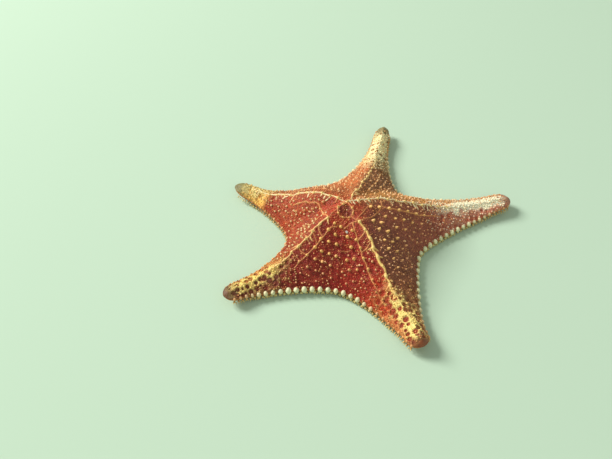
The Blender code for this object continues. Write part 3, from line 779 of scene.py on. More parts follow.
drawHollows()
netRelief = hollows["plateau"] - hollows["depth"] * hollowMask + hollows["dome"] * hollowDome
relief = relief * (1 - netZone) + netZone * netRelief
relief = relief + 0.0009 * (patches(cells, 0.008, 3) - 0.5) + 0.0003 * (patches(cells, 0.0022, 4) - 0.5)
relief = relief * (1 - smooth(placeLayer, 0.94, 0.975))


def colourPlan():
    # ground, softened and mottled; then the pale lines, the pale net with its hollows, and the bare tip
    weight = filledPlan.astype(float)
    fine = blurred(groundLayer * weight[..., None], 3) / np.maximum(blurred(weight, 3), 1e-3)[..., None]
    coarse = blurred(groundLayer * weight[..., None], 15) / np.maximum(blurred(weight, 15), 1e-3)[..., None]
    radius = np.linalg.norm(cells - ringCentre, axis=-1)
    ground = mixed(coarse, fine, smooth(radius, 0.022, 0.045))
    ragged = radius + 0.0016 * (patches(cells, 0.004, 6) - 0.5)
    ground = mixed(ground, centrePaint["middle"], 0.85 * (1 - smooth(ragged, 0.0050, 0.0072)))
    fineTone = 0.55 * (patches(cells, 0.0011, 15) - 0.35)
    tone = 0.72 + 0.26 * patches(cells, 0.010, 12) + 0.26 * patches(cells, 0.0032, 13) + fineTone
    colour = ground * tone[..., None]
    colour = mixed(colour, linePaint["side"], paleLines * 0.7 * (1 - netZone))
    wall = netZone * netPale * (1 - hollowMask) * (0.85 + 0.30 * patches(cells, 0.0030, 14))
    sunk = netZone * hollowMask * smooth(netPale, 0.05, 0.5)
    colour = mixed(colour, netColour * (0.92 + 0.4 * fineTone)[..., None], np.clip(wall, 0, 1))
    colour = mixed(colour, hollowColour * tone[..., None], 0.85 * sunk)
    return mixed(colour, tipColour * tone[..., None], tipZone)


pigment = colourPlan()
level = height + relief


def surface(spots):
    # points of the finished skin over places of the plan, and its upward normals from the slopes
    step = 0.0007
    z = sampled(level, spots)
    dx = sampled(level, spots + (step, 0)) - sampled(level, spots - (step, 0))
    dy = sampled(level, spots + (0, step)) - sampled(level, spots - (0, step))
    normal = unit(np.stack((-dx, -dy, np.full(z.shape, 2 * step)), -1))
    return np.concatenate((spots, z[..., None]), -1), normal


class Wire:
    # A shader socket that can be used in sums. Each + - * adds one Math node
    def __init__(self, tree, socket=None):
        self.tree = tree
        self.socket = socket

    def node(self, kind, settings=None, inputs=None, output=0):
        # settings are set first, then values or wires go to the sockets, and the output is handed back
        made = self.tree.nodes.new(kind)
        for name, value in (settings or {}).items():
            setattr(made, name, value)
        for name, value in (inputs or {}).items():
            if isinstance(value, Wire):
                self.tree.links.new(value.socket, made.inputs[name])
            else:
                made.inputs[name].default_value = value
        return Wire(self.tree, made.outputs[output])

    def maths(self, operation, first, second):
        return self.node("ShaderNodeMath", {"operation": operation}, {0: first, 1: second})

    def __add__(self, other):
        return self.maths("ADD", self, other)

    def __sub__(self, other):
        return self.maths("SUBTRACT", self, other)

    def __rsub__(self, other):
        return self.maths("SUBTRACT", other, self)

    def __mul__(self, other):
        return self.maths("MULTIPLY", self, other)

    __radd__ = __add__
    __rmul__ = __mul__


def tinted(colour, value):
    # a colour times a number, through Vector Math
    return colour.node("ShaderNodeVectorMath", {"operation": "SCALE"}, {0: colour, "Scale": value})


def livingSurface(name, look):
    # pigment * (1 + noise + grains), gloss that follows the same noise, and a bump of small
    # rounded grains, highest at each cell's middle, with fine noise on top
    material = bpy.data.materials.new(name)
    material.use_nodes = True
    tree = material.node_tree
    shader = tree.nodes["Principled BSDF"]
    start = Wire(tree)
    place = start.node("ShaderNodeTexCoord", output="Object")
    colour = start.node("ShaderNodeAttribute", {"attribute_name": "pigment"}, output="Color")
    mottle = start.node("ShaderNodeTexNoise", None,
                        {"Vector": place, "Scale": look["mottleScale"], "Detail": 3.0, "Roughness": 0.6})
    fine = start.node("ShaderNodeTexNoise", None,
                      {"Vector": place, "Scale": look["fineScale"], "Detail": 2.0})
    grain = start.node("ShaderNodeTexVoronoi", {"feature": "F1"},
                       {"Vector": place, "Scale": look["grainScale"]})
    tone = 1 + (mottle - 0.5) * look["mottle"] + (0.45 - grain) * look["grainShade"]
    gloss = look["rough"] + (mottle - 0.5) * look["roughSpread"]
    tree.links.new(tinted(colour, tone).socket, shader.inputs["Base Color"])
    tree.links.new(gloss.socket, shader.inputs["Roughness"])
    high = (1 - grain) * look["grainHeight"] + fine * look["fineHeight"]
    bump = start.node("ShaderNodeBump", None, {"Strength": 1.0, "Distance": 1.0, "Height": high})
    tree.links.new(bump.socket, shader.inputs["Normal"])
    shader.inputs["Specular IOR Level"].default_value = look["specular"]
    return material


def makePiece(name, points, faces, colours, material, bakeMap=None):
    # mesh from whole arrays: points, faces of 4 or 3 corners, one colour a point, and the bake's map
    corners = np.concatenate([group.ravel() for group in faces])
    sizes = np.concatenate([np.full(len(group), group.shape[1]) for group in faces])
    mesh = bpy.data.meshes.new(name)
    mesh.vertices.add(len(points))
    mesh.vertices.foreach_set("co", (points + discCentre).astype(np.float32).ravel())
    mesh.loops.add(len(corners))
    mesh.loops.foreach_set("vertex_index", corners.astype(np.int32))
    mesh.polygons.add(len(sizes))
    mesh.polygons.foreach_set("loop_start", (np.cumsum(sizes) - sizes).astype(np.int32))
    mesh.polygons.foreach_set("use_smooth", np.ones(len(sizes), bool))
    shades = mesh.attributes.new("pigment", "FLOAT_COLOR", "POINT")
    shades.data.foreach_set("color",
                            np.column_stack((colours, np.ones(len(points)))).astype(np.float32).ravel())
    if bakeMap is not None:
        mesh.uv_layers.new(name="OFBake").data.foreach_set("uv", bakeMap[corners].astype(np.float32).ravel())
    mesh.update(calc_edges=True)
    mesh.materials.append(material)
    piece = bpy.data.objects.new(name, mesh)
    bpy.context.scene.collection.objects.link(piece)
    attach(piece, "root")
    print(name, int((sizes - 2).sum()), "triangles")
    return piece


def closeUp(piece):
    # merges points that lie together, which closes seams and poles, and turns the faces outwards
    bm = bmesh.new()
    bm.from_mesh(piece.data)
    bmesh.ops.remove_doubles(bm, verts=bm.verts, dist=0.000002)
    bmesh.ops.dissolve_degenerate(bm, edges=bm.edges, dist=0.0000005)
    bmesh.ops.recalc_face_normals(bm, faces=bm.faces)
    print(piece.name, "has", sum(1 for edge in bm.edges if not edge.is_manifold), "open edges")
    bm.to_mesh(piece.data)
    bm.free()


# Skin: one closed surface over all five arms
skin = dict(halfColumns=42, underColumns=12, wallPoints=2,
            placeStops=(0.0, 0.36, 0.60, 0.92, 1.0), placeCounts=(50, 32, 66, 16))
skinLook = dict(mottleScale=420.0, mottle=0.5, fineScale=1500.0, fineHeight=0.00020, grainScale=950.0,
                grainHeight=0.00038, grainShade=0.55, rough=0.52, roughSpread=0.25, specular=0.32)
underPaint = dict(flat=paint(222, 170, 104), groove=paint(206, 156, 116), rim=paint(196, 124, 66),
                  mouth=paint(120, 66, 52))


def skinPlaces():
    # rows of points, closest on the arms' ends where the net is
    stops, counts = skin["placeStops"], skin["placeCounts"]
    runs = [np.linspace(a, b, n, endpoint=False) for a, b, n in zip(stops, stops[1:], counts)]
    return np.concatenate((*runs, [1.0]))


def gridFaces(numbers):
    # quads between neighbouring rows and columns of a grid of point numbers
    quads = (numbers[:-1, :-1], numbers[1:, :-1], numbers[1:, 1:], numbers[:-1, 1:])
    return np.stack(quads, -1).reshape(-1, 4)


def mapped(spots, half):
    # plan places laid on one half of the unit square
    across = (spots - planLow) / (planSize * plan["step"])
    return across * (0.48, 0.96) + (0.01 + 0.5 * half, 0.02)


def bothSides(index, place, share, function):
    # a surface function on the right of the midline where the share is negative, and on its left
    right = function(index, -1, place, abs(share))
    return np.where((share < 0)[..., None], right, function(index, 1, place, abs(share)))


def underShares(index, side, places):
    # shares of the half width: five columns over the groove and its lip, the rest evenly to the margin
    section = crossSection(index, side, places)
    distance, half = section[0], section[3][:, None]
    groove = grooveHalf(arms[index], distance)[:, None] * endFullness(places)[:, None]
    lip = np.array((0, 0.5, 0.85, 1.15, 1.6))
    near = np.minimum(lip * groove, half * np.arange(5) / 8)
    far = near[:, -1:] + (half - near[:, -1:]) * np.linspace(0, 1, skin["underColumns"] - 3)[1:]
    even = np.linspace(0, 1, skin["underColumns"] + 1)[None]
    return np.where(half < 1e-9, even, np.concatenate((near, far), 1) / np.maximum(half, 1e-9))


def armSkin(index, places, first):
    # one arm's upper grid from the right margin to the left one, its under grid, and its two walls
    count = skin["halfColumns"]
    place, share = np.meshgrid(places, np.linspace(-1, 1, 2 * count + 1), indexing="ij")
    upper = bothSides(index, place, share, upperSide)
    rise = sampled(relief, upper[..., :2]) * endFullness(place)
    upper[..., 2] += rise * (1 - smooth(abs(share), 0.93, 1.0) * smooth(place, 0.36, 0.38))
    right, left = (underShares(index, side, places) for side in (-1, 1))
    lower = np.concatenate((lowerSide(index, -1, places[:, None] + 0 * right, right)[:, ::-1],
                            lowerSide(index, 1, places[:, None] + 0 * left, left)[:, 1:]), 1)
    points = [upper.reshape(-1, 3), lower.reshape(-1, 3)]
    upperNumbers = first + np.arange(upper[..., 0].size).reshape(upper.shape[:2])
    lowerNumbers = upperNumbers.max() + 1 + np.arange(lower[..., 0].size).reshape(lower.shape[:2])
    faces = [gridFaces(upperNumbers), gridFaces(lowerNumbers)[:, ::-1]]
    last = lowerNumbers.max() + 1
    walled = np.flatnonzero(places >= form["atNotch"] - 1e-9)
    for side, edgeColumn in ((-1, 0), (1, -1)):
        outward = margin(index, side, places[walled])[1]
        top, low = upper[walled, edgeColumn], lower[walled, edgeColumn]
        t = (np.arange(skin["wallPoints"]) + 1) / (skin["wallPoints"] + 1)
        between = top[:, None] + (low - top)[:, None] * t[None, :, None]
        bulge = form["marginBulge"] * np.sin(math.pi * t) * endFullness(places[walled])[:, None]
        between[..., :2] += outward[:, None] * bulge[..., None]
        numbers = last + np.arange(between[..., 0].size).reshape(between.shape[:2])
        last = numbers.max() + 1
        points.append(between.reshape(-1, 3))
        ends = [grid[walled, edgeColumn][:, None] for grid in (upperNumbers, lowerNumbers)]
        quads = gridFaces(np.concatenate((ends[0], numbers, ends[1]), 1))
        faces.append(quads if side > 0 else quads[:, ::-1])
    return points, faces, last, len(points[0])


def underColours(points):
    # tan, paler in the groove, orange at the rim and dark round the mouth
    share = np.clip(sampled(shareLayer, points[:, :2]), 0, 1)
    inGroove = smooth(points[:, 2], form["underFlat"] + 0.0006, form["underFlat"] + 0.002) * (share < 0.6)
    rim = smooth(share, 0.7, 0.98) * smooth(sampled(placeLayer, points[:, :2]), 0.3, 0.4)
    below = mixed(underPaint["flat"], underPaint["groove"], inGroove)
    below = mixed(below, underPaint["rim"], rim)
    radius = np.linalg.norm(points[:, :2], axis=-1)
    below = mixed(below, underPaint["mouth"], 1 - smooth(radius, 0.0045, 0.0075))
    return below * (0.85 + 0.3 * patches(points[:, :2], 0.004, 31))[:, None]


def makeSkin():
    # five arms laid side by side, with shared points that are then merged
    places = skinPlaces()
    points, faces, isUpper, last = [], [], [], 0
    for index in range(5):
        armPoints, armFaces, last, upperCount = armSkin(index, places, last)
        points += armPoints
        faces += armFaces
        isUpper.append(np.arange(sum(len(group) for group in armPoints)) < upperCount)
    points = np.concatenate(points)
    isUpper = np.concatenate(isUpper)[:, None]
    colours = np.where(isUpper, sampled(pigment, points[:, :2]), underColours(points))
    bakeMap = np.where(isUpper, mapped(points[:, :2], 0), mapped(points[:, :2], 1))
    piece = makePiece("skin", points, [np.concatenate(faces)], colours, livingSurface("skin", skinLook),
                      bakeMap)
    closeUp(piece)
    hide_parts(*[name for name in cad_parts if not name.startswith("tip_")])


makeSkin()


# Small forms: one turned shape set many times, as whole arrays
def turned(profile, sideCount):
    # rings of (radius, height) about Z from the top pole to the bottom pole; the map runs outwards
    profile = np.array(profile, float)
    ringCount = len(profile) - 2
    angle = np.arange(sideCount) * 2 * math.pi / sideCount
    circle = np.stack((np.cos(angle), np.sin(angle)), -1)
    heights = np.broadcast_to(profile[1:-1, 1][:, None, None], (ringCount, sideCount, 1))
    rings = np.concatenate((profile[1:-1, 0][:, None, None] * circle, heights), -1)
    points = np.vstack(((0, 0, profile[0, 1]), rings.reshape(-1, 3), (0, 0, profile[-1, 1])))
    here = 1 + np.arange(ringCount * sideCount).reshape(ringCount, sideCount)
    after = np.roll(here, -1, 1)
    quads = np.stack((here[:-1], here[1:], after[1:], after[:-1]), -1).reshape(-1, 4)
    bottom = len(points) - 1
    caps = np.vstack((np.stack((np.zeros(sideCount, int), here[0], after[0]), -1),
                      np.stack((np.full(sideCount, bottom), after[-1], here[-1]), -1)))
    rho = (np.arange(ringCount) + 1)[:, None, None] / (ringCount + 1)
    spread = np.vstack(((0, 0), (rho * circle).reshape(-1, 2), (1, 0)))
    return points, quads, caps, spread


def framesAbout(normal, turn):
    # axes of each form: Z is the normal, X is square to it and turned about it by an angle
    helper = np.where(abs(normal[:, 2:]) > 0.9, np.array((1.0, 0, 0)), np.array((0, 0, 1.0)))
    across = unit(np.cross(helper, normal))
    onward = np.cross(normal, across)
    x = across * np.cos(turn)[:, None] + onward * np.sin(turn)[:, None]
    return np.stack((x, np.cross(normal, x), normal), 1)


def setForms(name, shape, roots, axes, scale, colours, material, half=0):
    # every form's points are root + local point * scale turned by its axes
    local, quads, caps, spread = shape
    count, size = len(roots), len(local)
    points = roots[:, None] + np.einsum("nvk,nkd->nvd", local[None] * scale[:, None], axes)
    start = (np.arange(count) * size)[:, None, None]
    faces = [(group[None] + start).reshape(-1, group.shape[1]) for group in (quads, caps) if len(group)]
    shades = colours if colours.ndim == 3 else np.broadcast_to(colours[:, None], (count, size, 3))
    bakeMap = mapped(roots[:, None, :2], half) + 0.0015 * spread[None]
    return makePiece(name, points.reshape(-1, 3), faces, shades.reshape(-1, 3), material,
                     bakeMap.reshape(-1, 2))


def jittered(count, spread):
    # random numbers from 1 - spread to 1 + spread
    return 1 + wobble(count, spread)


def leaning(normal, lean):
    # the normal tilted a little at random
    return unit(normal + wobble(normal.shape, lean))


def leaningAxes(normal, lean):
    # axes about the tilted normal, turned about it at random
    return framesAbout(leaning(normal, lean), draw.random(len(normal)) * math.tau)


def roundScale(size, settings):
    # as wide as deep: size * radius twice, then size * height
    return np.stack([size * settings[key] for key in ("radius", "radius", "height")], -1)


def footColours(shape, tips, grounds, foot):
    # colour of each point: the ground's near the foot, the tip's above
    up = smooth(shape[0][:, 2], foot - 0.20, foot + 0.25)
    return mixed(grounds[:, None], tips[:, None], up[None])


# Tubercles: blunt cones with a spreading foot, one on each plate of the skeleton
tubercle = dict(sides=8, radius=0.0017, height=0.0028, spread=0.14, lean=0.12, foot=0.05,
                profile=((0, 1.0), (0.27, 0.95), (0.47, 0.74), (0.62, 0.45), (0.80, 0.14), (1.05, -0.10),
                         (0, -0.35)),
                pale=paint(255, 202, 120), pink=paint(242, 174, 130), cream=paint(255, 206, 142))
waxLook = dict(mottleScale=900.0, mottle=0.3, fineScale=2500.0, fineHeight=0.00012, grainScale=2000.0,
               grainHeight=0.00012, grainShade=0.15, rough=0.45, roughSpread=0.2, specular=0.38)
waxMaterial = livingSurface("tubercle", waxLook)


def makeTubercles():
    # large and yellow on the disc and inner arms, small and pinkish near the margins
    shape = turned(tubercle["profile"], tubercle["sides"])
    spots, kind, place, size = plates[:, :2], plates[:, 2], plates[:, 3], plates[:, 4]
    count = len(plates)
    points, normal = surface(spots)
    share = sampled(shareLayer, spots)
    low = 1 - smooth(points[:, 2], 0.012, 0.028)
    nearEdge = np.maximum(low * (place < 0.60), smooth(share, 0.60, 0.92) * (place > 0.36))
    small = (size < 0.9) * (kind > 1.5)
    pinkness = np.clip(nearEdge * 0.85 * (1 - small) + 0.55 * (kind == 4), 0, 1)
    tips = mixed(tubercle["pale"], tubercle["cream"], small * 0.9)
    tips = mixed(tips, tubercle["pink"], pinkness) * jittered(count, 0.10)[:, None]
    size = size * jittered(count, tubercle["spread"]) * (1 - 0.42 * nearEdge)
    size = size * (1 - 0.30 * smooth(place, 0.42, 0.66))
    tips = np.where((kind == 0)[:, None], linePaint["crest"], tips)
    grounds = mixed(sampled(pigment, spots), tips, np.where(kind == 0, 0.9, 0.30))
    axes = leaningAxes(normal, tubercle["lean"])
    across = size * tubercle["radius"]
    tall = size * tubercle["height"] * np.where(kind == 0, 0.75, 1)
    scale = np.stack((across, across * jittered(count, 0.12), tall), -1)
    setForms("tubercles", shape, points, axes, scale, footColours(shape, tips, grounds, tubercle["foot"]),
             waxMaterial)


makeTubercles()


# Cords: the pale lines as rounded ribs on the skin, knotted where a plate lies under them
cord = dict(sides=8, knotWidth=0.0014, knotGrowth=0.75, sink=0.20)


def nearestGap(spots, others):
    # distance of each spot to the nearest of the others, in blocks to save memory
    best = np.full(len(spots), 1.0)
    for start in range(0, len(spots), 2000):
        gaps = np.linalg.norm(spots[start:start + 2000, None] - others[None], axis=-1)
        best[start:start + 2000] = gaps.min(1)
    return best


def cordRings(line):
    # centre, sideways and upward vectors, half width, height and colour of each ring
    path = line["path"]
    base, normal = surface(path)
    way = np.gradient(path, axis=0)
    sideways = unit(np.cross(normal, np.column_stack((way, np.zeros(len(path))))))
    run = runOf(path)
    knot = np.exp(-((nearestGap(path, plates[:, :2]) / cord["knotWidth"]) ** 2)) * line["knots"]
    ends = np.clip(np.minimum(run, run[-1] - run) / 0.0012, 0, 1)
    ends = np.sqrt(ends * (2 - ends)) * 0.9 + 0.1
    rough = (0.58 + 0.75 * patches(path, 0.0018, 71)) * ends
    width = line["half"] * (1 + cord["knotGrowth"] * knot) * rough
    tall = line["tall"] * (1 + 0.8 * cord["knotGrowth"] * knot) * rough
    pale = line["pale"] * (0.70 + 0.45 * patches(path, 0.0030, 72)) + 0.3 * knot
    colour = mixed(sampled(pigment, path), mixed(line["colour"], linePaint["crest"], knot),
                   np.clip(pale, 0, 1))
    return base, sideways, normal, width, tall, colour


def makeCords(name, lines):
    # each cord is a closed tube: rings of an ellipse on the skin, with a point at either end
    angle = np.arange(cord["sides"]) * 2 * math.pi / cord["sides"]
    around = np.stack((np.cos(angle), np.sin(angle)), -1)
    points, quads, caps, colours, bakeMaps, last = [], [], [], [], [], 0
    for line in lines:
        base, sideways, normal, width, tall, colour = cordRings(line)
        out = sideways[:, None] * (around[None, :, 0] * width[:, None])[..., None]
        up = normal[:, None] * ((around[None, :, 1] - cord["sink"]) * tall[:, None])[..., None]
        count = len(base)
        numbers = last + np.arange(count * cord["sides"]).reshape(count, cord["sides"])
        after = np.roll(numbers, -1, 1)
        quads.append(np.stack((numbers[:-1], after[:-1], after[1:], numbers[1:]), -1).reshape(-1, 4))
        poles = last + count * cord["sides"] + np.arange(2)
        caps.append(np.stack((np.full(cord["sides"], poles[0]), after[0], numbers[0]), -1))
        caps.append(np.stack((np.full(cord["sides"], poles[1]), numbers[-1], after[-1]), -1))
        points += [(base[:, None] + out + up).reshape(-1, 3), base[[0, -1]]]
        colours += [np.repeat(colour, cord["sides"], 0), colour[[0, -1]]]
        bakeMaps.append((mapped(base[:, None, :2], 0) + around[None] * 0.0015).reshape(-1, 2))
        bakeMaps.append(mapped(base[[0, -1], :2], 0))
        last = poles[1] + 1
    makePiece(name, np.concatenate(points), [np.concatenate(quads), np.concatenate(caps)],
              np.concatenate(colours), waxMaterial, np.concatenate(bakeMaps))


makeCords("pale_lines", paleLinePaths)


# Spurs: short pale bars that leave the crest lines to either side
spur = dict(length=0.0038, spread=0.40, half=0.00062, lean=0.7, spacing=0.36)


def spurLines():
    # from a plate of the crest sideways and a little outwards, thinning to its end
    found = []
    for index, line in enumerate(crestLines):
        path = paleLinePaths[1 + index]["path"]
        run = runOf(path)
        way = unit(np.gradient(path, axis=0))
        starts = np.arange(0.15, run[-1] / arms[index]["step"], spur["spacing"]) * arms[index]["step"]
        for at, side in ((at, side) for at in starts for side in (1, -1)):
            if draw.random() > line["spurs"]:
                continue
            k = min(int(np.searchsorted(run, at)), len(path) - 1)
            length = spur["length"] * (1 + wobble(None, spur["spread"]))
            lean = spur["lean"] * (draw.random() * 1.6 - 0.3)
            direction = leftOf(way[k]) * side + way[k] * lean
            points = path[k] + np.linspace(0.1, 1, 5)[:, None] * direction * length
            luck = draw.random()
            found.append(dict(path=cordPath(points), half=spur["half"] * (0.7 + 0.6 * luck),
                              tall=spur["half"], pale=line["pale"] * (0.65 + 0.35 * luck), knots=0.6,
                              colour=mixed(linePaint["side"], line["colour"], luck)))
    return found


makeCords("spurs", spurLines())


def scattered(spacing, seed):
    # one place in each square of a grid turned half a step each row, moved at random inside it
    pick = np.random.default_rng(seed)
    counts = (planSize * plan["step"] / spacing).astype(int)
    x, y = np.meshgrid(np.arange(counts[0]), np.arange(counts[1]), indexing="ij")
    spots = np.stack((x + 0.5 * (y % 2), y), -1).reshape(-1, 2) + pick.random((x.size, 2)) * 0.62
    spots = planLow + spots * spacing
    return spots[sampled(insideStar.astype(float), spots) > 0.999], pick


# Granules: low grains all over the upper side
granule = dict(spacing=0.00165, radius=0.00046, height=0.00050, sides=6, plateGap=0.0017, lastPlace=0.95,
               pale=paint(255, 184, 116),
               profile=((0, 1.0), (0.62, 0.72), (1.0, 0.0), (0, -0.5)))


def makeGranules():
    # little rounds, lighter or darker than the ground; luck makes a few of them larger and pale
    spots, pick = scattered(granule["spacing"], 41)
    keep = nearestGap(spots, plates[:, :2]) > granule["plateGap"]
    keep &= sampled(placeLayer, spots) < granule["lastPlace"]
    spots = spots[keep]
    points, normal = surface(spots)
    ground = sampled(pigment, spots)
    luck = pick.random(len(spots)) ** 3.2
    size = 0.70 + 0.45 * pick.random(len(spots)) + 0.55 * luck
    colours = ground * (0.58 + 0.95 * pick.random(len(spots)))[:, None]
    colours = mixed(colours, granule["pale"], 0.80 * luck)
    axes = framesAbout(normal, pick.random(len(spots)) * math.tau)
    setForms("granules", turned(granule["profile"], granule["sides"]), points, axes,
             roundScale(size, granule), colours, waxMaterial)


makeGranules()


# Small tubercles: rows of pinkish dots on the outer flanks, and single ones between the large rows.
# On the two flanks lit by the key the dots are larger, start nearer the disc and are painted paler,
# partly their own colour and partly painted light.
dots = dict(pitch=0.0041, apart=0.0036, radius=0.00092, height=0.0014, sides=7, start=0.036, warmStart=0.020,
            rowCount=9, firstRow=0.0062, jitter=0.0004, lean=0.15, foot=0.1, plateGap=0.0024, lineGap=0.0014,
            innerSpacing=0.0046, innerShare=0.20, keyLitSides=(("left", 1), ("front_left", -1)),
            profile=((0, 1.0), (0.45, 0.88), (0.78, 0.45), (1.05, -0.1), (0, -0.4)),
            amount={("back", 1): 0.75, ("back", -1): 0.55, ("left", 1): 0.97, ("left", -1): 0.6,
                    ("front_left", 1): 0.35, ("front_left", -1): 0.85, ("front_right", 1): 0.40,
                    ("front_right", -1): 0.50, ("right", 1): 0.6, ("right", -1): 0.40},
            light=paint(255, 220, 160), rose=paint(240, 162, 116))


def makeDots():
    # rows parallel to the crest, kept with each side's chance, clear of the large tubercles
    found = []
    for (name, side), amount in dots["amount"].items():
        index = armIndex[name]
        warm = (name, side) in dots["keyLitSides"]
        end = arms[index]["reach"] * (arms[index]["netFrom"] - 0.02)
        for row in range(dots["rowCount"]):
            start = dots["warmStart" if warm else "start"]
            line = rowLine(index, side, dots["firstRow"] + row * dots["apart"], start, end)
            spots = alongLine(*line, dots["pitch"], 0.5 * (row % 2) + 0.2)[0]
            spots = spots[draw.random(len(spots)) < amount]
            spots += wobble(spots.shape, dots["jitter"])
            found.append(np.column_stack((spots, np.full(len(spots), warm))))
    spots, pick = scattered(dots["innerSpacing"], 43)
    inner = (sampled(placeLayer, spots) < 0.45) & (pick.random(len(spots)) < dots["innerShare"])
    inner &= np.linalg.norm(spots, axis=-1) > 0.008
    found.append(np.column_stack((spots[inner], np.full(inner.sum(), 0.4))))
    spots, warm = np.concatenate(found)[:, :2], np.concatenate(found)[:, 2]
    lineSpots = np.concatenate([line["path"][::2] for line in paleLinePaths])
    keep = nearestGap(spots, plates[:, :2]) > dots["plateGap"]
    keep &= nearestGap(spots, lineSpots) > dots["lineGap"]
    keep &= sampled(hollowMask * netZone, spots) < 0.4
    spots, warm = spots[keep], warm[keep]
    points, normal = surface(spots)
    # warm is 1 on the two flanks lit by the key, where the paler dots are partly their own colour and partly
    # painted light, and 0.4 for the single dots between the rows
    lightness = 0.15 + 0.5 * draw.random(len(spots)) + 0.6 * warm
    tips = mixed(dots["rose"], dots["light"], np.clip(lightness, 0, 1))
    shape = turned(dots["profile"], dots["sides"])
    axes = leaningAxes(normal, dots["lean"])
    size = 0.65 + 0.40 * draw.random(len(spots)) + 0.30 * warm
    colours = footColours(shape, tips, sampled(pigment, spots), dots["foot"])
    setForms("small_tubercles", shape, points, axes, roundScale(size, dots), colours, waxMaterial)


makeDots()


# Net tubercles: little pale cones on the walls between the hollows
netCone = dict(spacing=0.0027, radius=0.00075, height=0.0011, sides=7, lean=0.15, foot=0.1, share=0.75,
               profile=((0, 1.0), (0.45, 0.86), (0.80, 0.42), (1.05, -0.1), (0, -0.4)))


def makeNetCones():
    # set on the walls only, as pale as the wall under them or a little paler
    spots, pick = scattered(netCone["spacing"], 47)
    keep = (sampled(netZone, spots) > 0.5) & (sampled(hollowMask, spots) < 0.12)
    keep &= pick.random(len(spots)) < netCone["share"]
    keep &= sampled(tipZone, spots) < 0.45
    spots = spots[keep]
    points, normal = surface(spots)
    pale = sampled(netPale, spots)
    tips = mixed(sampled(pigment, spots), sampled(netColour, spots) * 1.05, np.clip(0.35 + pale, 0, 1))
    tips = mixed(tips, dots["light"], 0.25 * pick.random(len(spots)))
    shape = turned(netCone["profile"], netCone["sides"])
    axes = framesAbout(leaning(normal, netCone["lean"]), pick.random(len(spots)) * math.tau)
    size = 0.65 + 0.6 * pick.random(len(spots))
    colours = footColours(shape, tips, sampled(pigment, spots), netCone["foot"])
    setForms("net_tubercles", shape, points, axes, roundScale(size, netCone), colours, waxMaterial)


makeNetCones()


# Margin: the upper row of marginal plates as rounded beads, the lower row and its fringe of spines.
# Each half of a bay, from an arm's left side round to the next arm's right side, has its own size
# and warmth of beads, and a place from which they shrink towards the tip
baySize = np.array((0.85, 0.85, 0.58, 0.62, 1.0, 0.95, 0.92, 0.92, 0.85, 0.85))
bayWarmth = np.array((0.35, 0.35, 0.80, 0.75, 0.0, 0.10, 0.0, 0.0, 0.25, 0.25))
bayShrinkFrom = np.array((0.62, 0.62, 0.62, 0.62, 0.66, 0.46, 0.62, 0.62, 0.62, 0.62))
roundSection = ((0, 1.0), (0.52, 0.88), (0.88, 0.50), (1.0, 0.0), (0.86, -0.52), (0.5, -0.88), (0, -1.0))
beads = dict(pitch=0.0066, pitchEnd=0.0048, along=0.00222, out=0.0024, tall=0.0027, height=0.0053,
             offset=0.0003,
             sides=10, profile=roundSection, pale=paint(246, 244, 194), warm=paint(226, 156, 92),
             shrink=0.45, tilt=0.45)
lowerBeads = dict(pitch=0.0036, pitchEnd=0.0034, along=0.00135, out=0.0015, tall=0.0011, height=0.0026,
                  offset=0.0011,
                  sides=8, profile=((0, 1.0), (0.7, 0.7), (1.0, 0.0), (0.7, -0.7), (0, -1.0)),
                  pale=paint(226, 208, 136), warm=paint(222, 170, 96), shrink=0.30, tilt=-0.15)
beadLook = dict(mottleScale=600.0, mottle=0.35, fineScale=2200.0, fineHeight=0.00012, grainScale=1500.0,
                grainHeight=0.00022, grainShade=0.25, rough=0.42, roughSpread=0.2, specular=0.38)
beadMaterial = livingSurface("margin_bead", beadLook)


def bayOutline(index):
    # from one arm's tip down its left side to the notch and up the next arm's right side, as columns:
    # x, y, outward x, outward y, lift, place and number of the half bay
    place = np.linspace(0.36, 0.955, 500)
    after = (index + 1) % 5
    out, outOut = margin(index, 1, place)
    back, backOut = margin(after, -1, place)
    lifts = np.concatenate((endLift(index, distanceAlong(index, place))[::-1],
                            endLift(after, distanceAlong(after, place))[1:]))
    outward = unit(np.concatenate((outOut[::-1], backOut[1:])))
    return np.column_stack((np.concatenate((out[::-1], back[1:])), outward, lifts,
                            np.concatenate((place[::-1], place[1:])),
                            np.repeat((2 * index, 2 * index + 1), (500, 499))))


def alongBays(pitch, pitchEnd):
    # spots one pitch apart round all five bays, where the pitch shrinks to pitchEnd towards the tips
    found = []
    for index in range(5):
        columns = bayOutline(index)
        local = blend(pitch, pitchEnd, smooth(columns[:, 5], 0.60, 0.92))
        run = runOf(columns[:, :2], (local[1:] + local[:-1]) / 2)
        found.append(readAt(np.arange(0.5, run[-1] - 0.2), run, columns))
    found = np.concatenate(found)
    found[:, 2:4] = unit(found[:, 2:4])
    return found


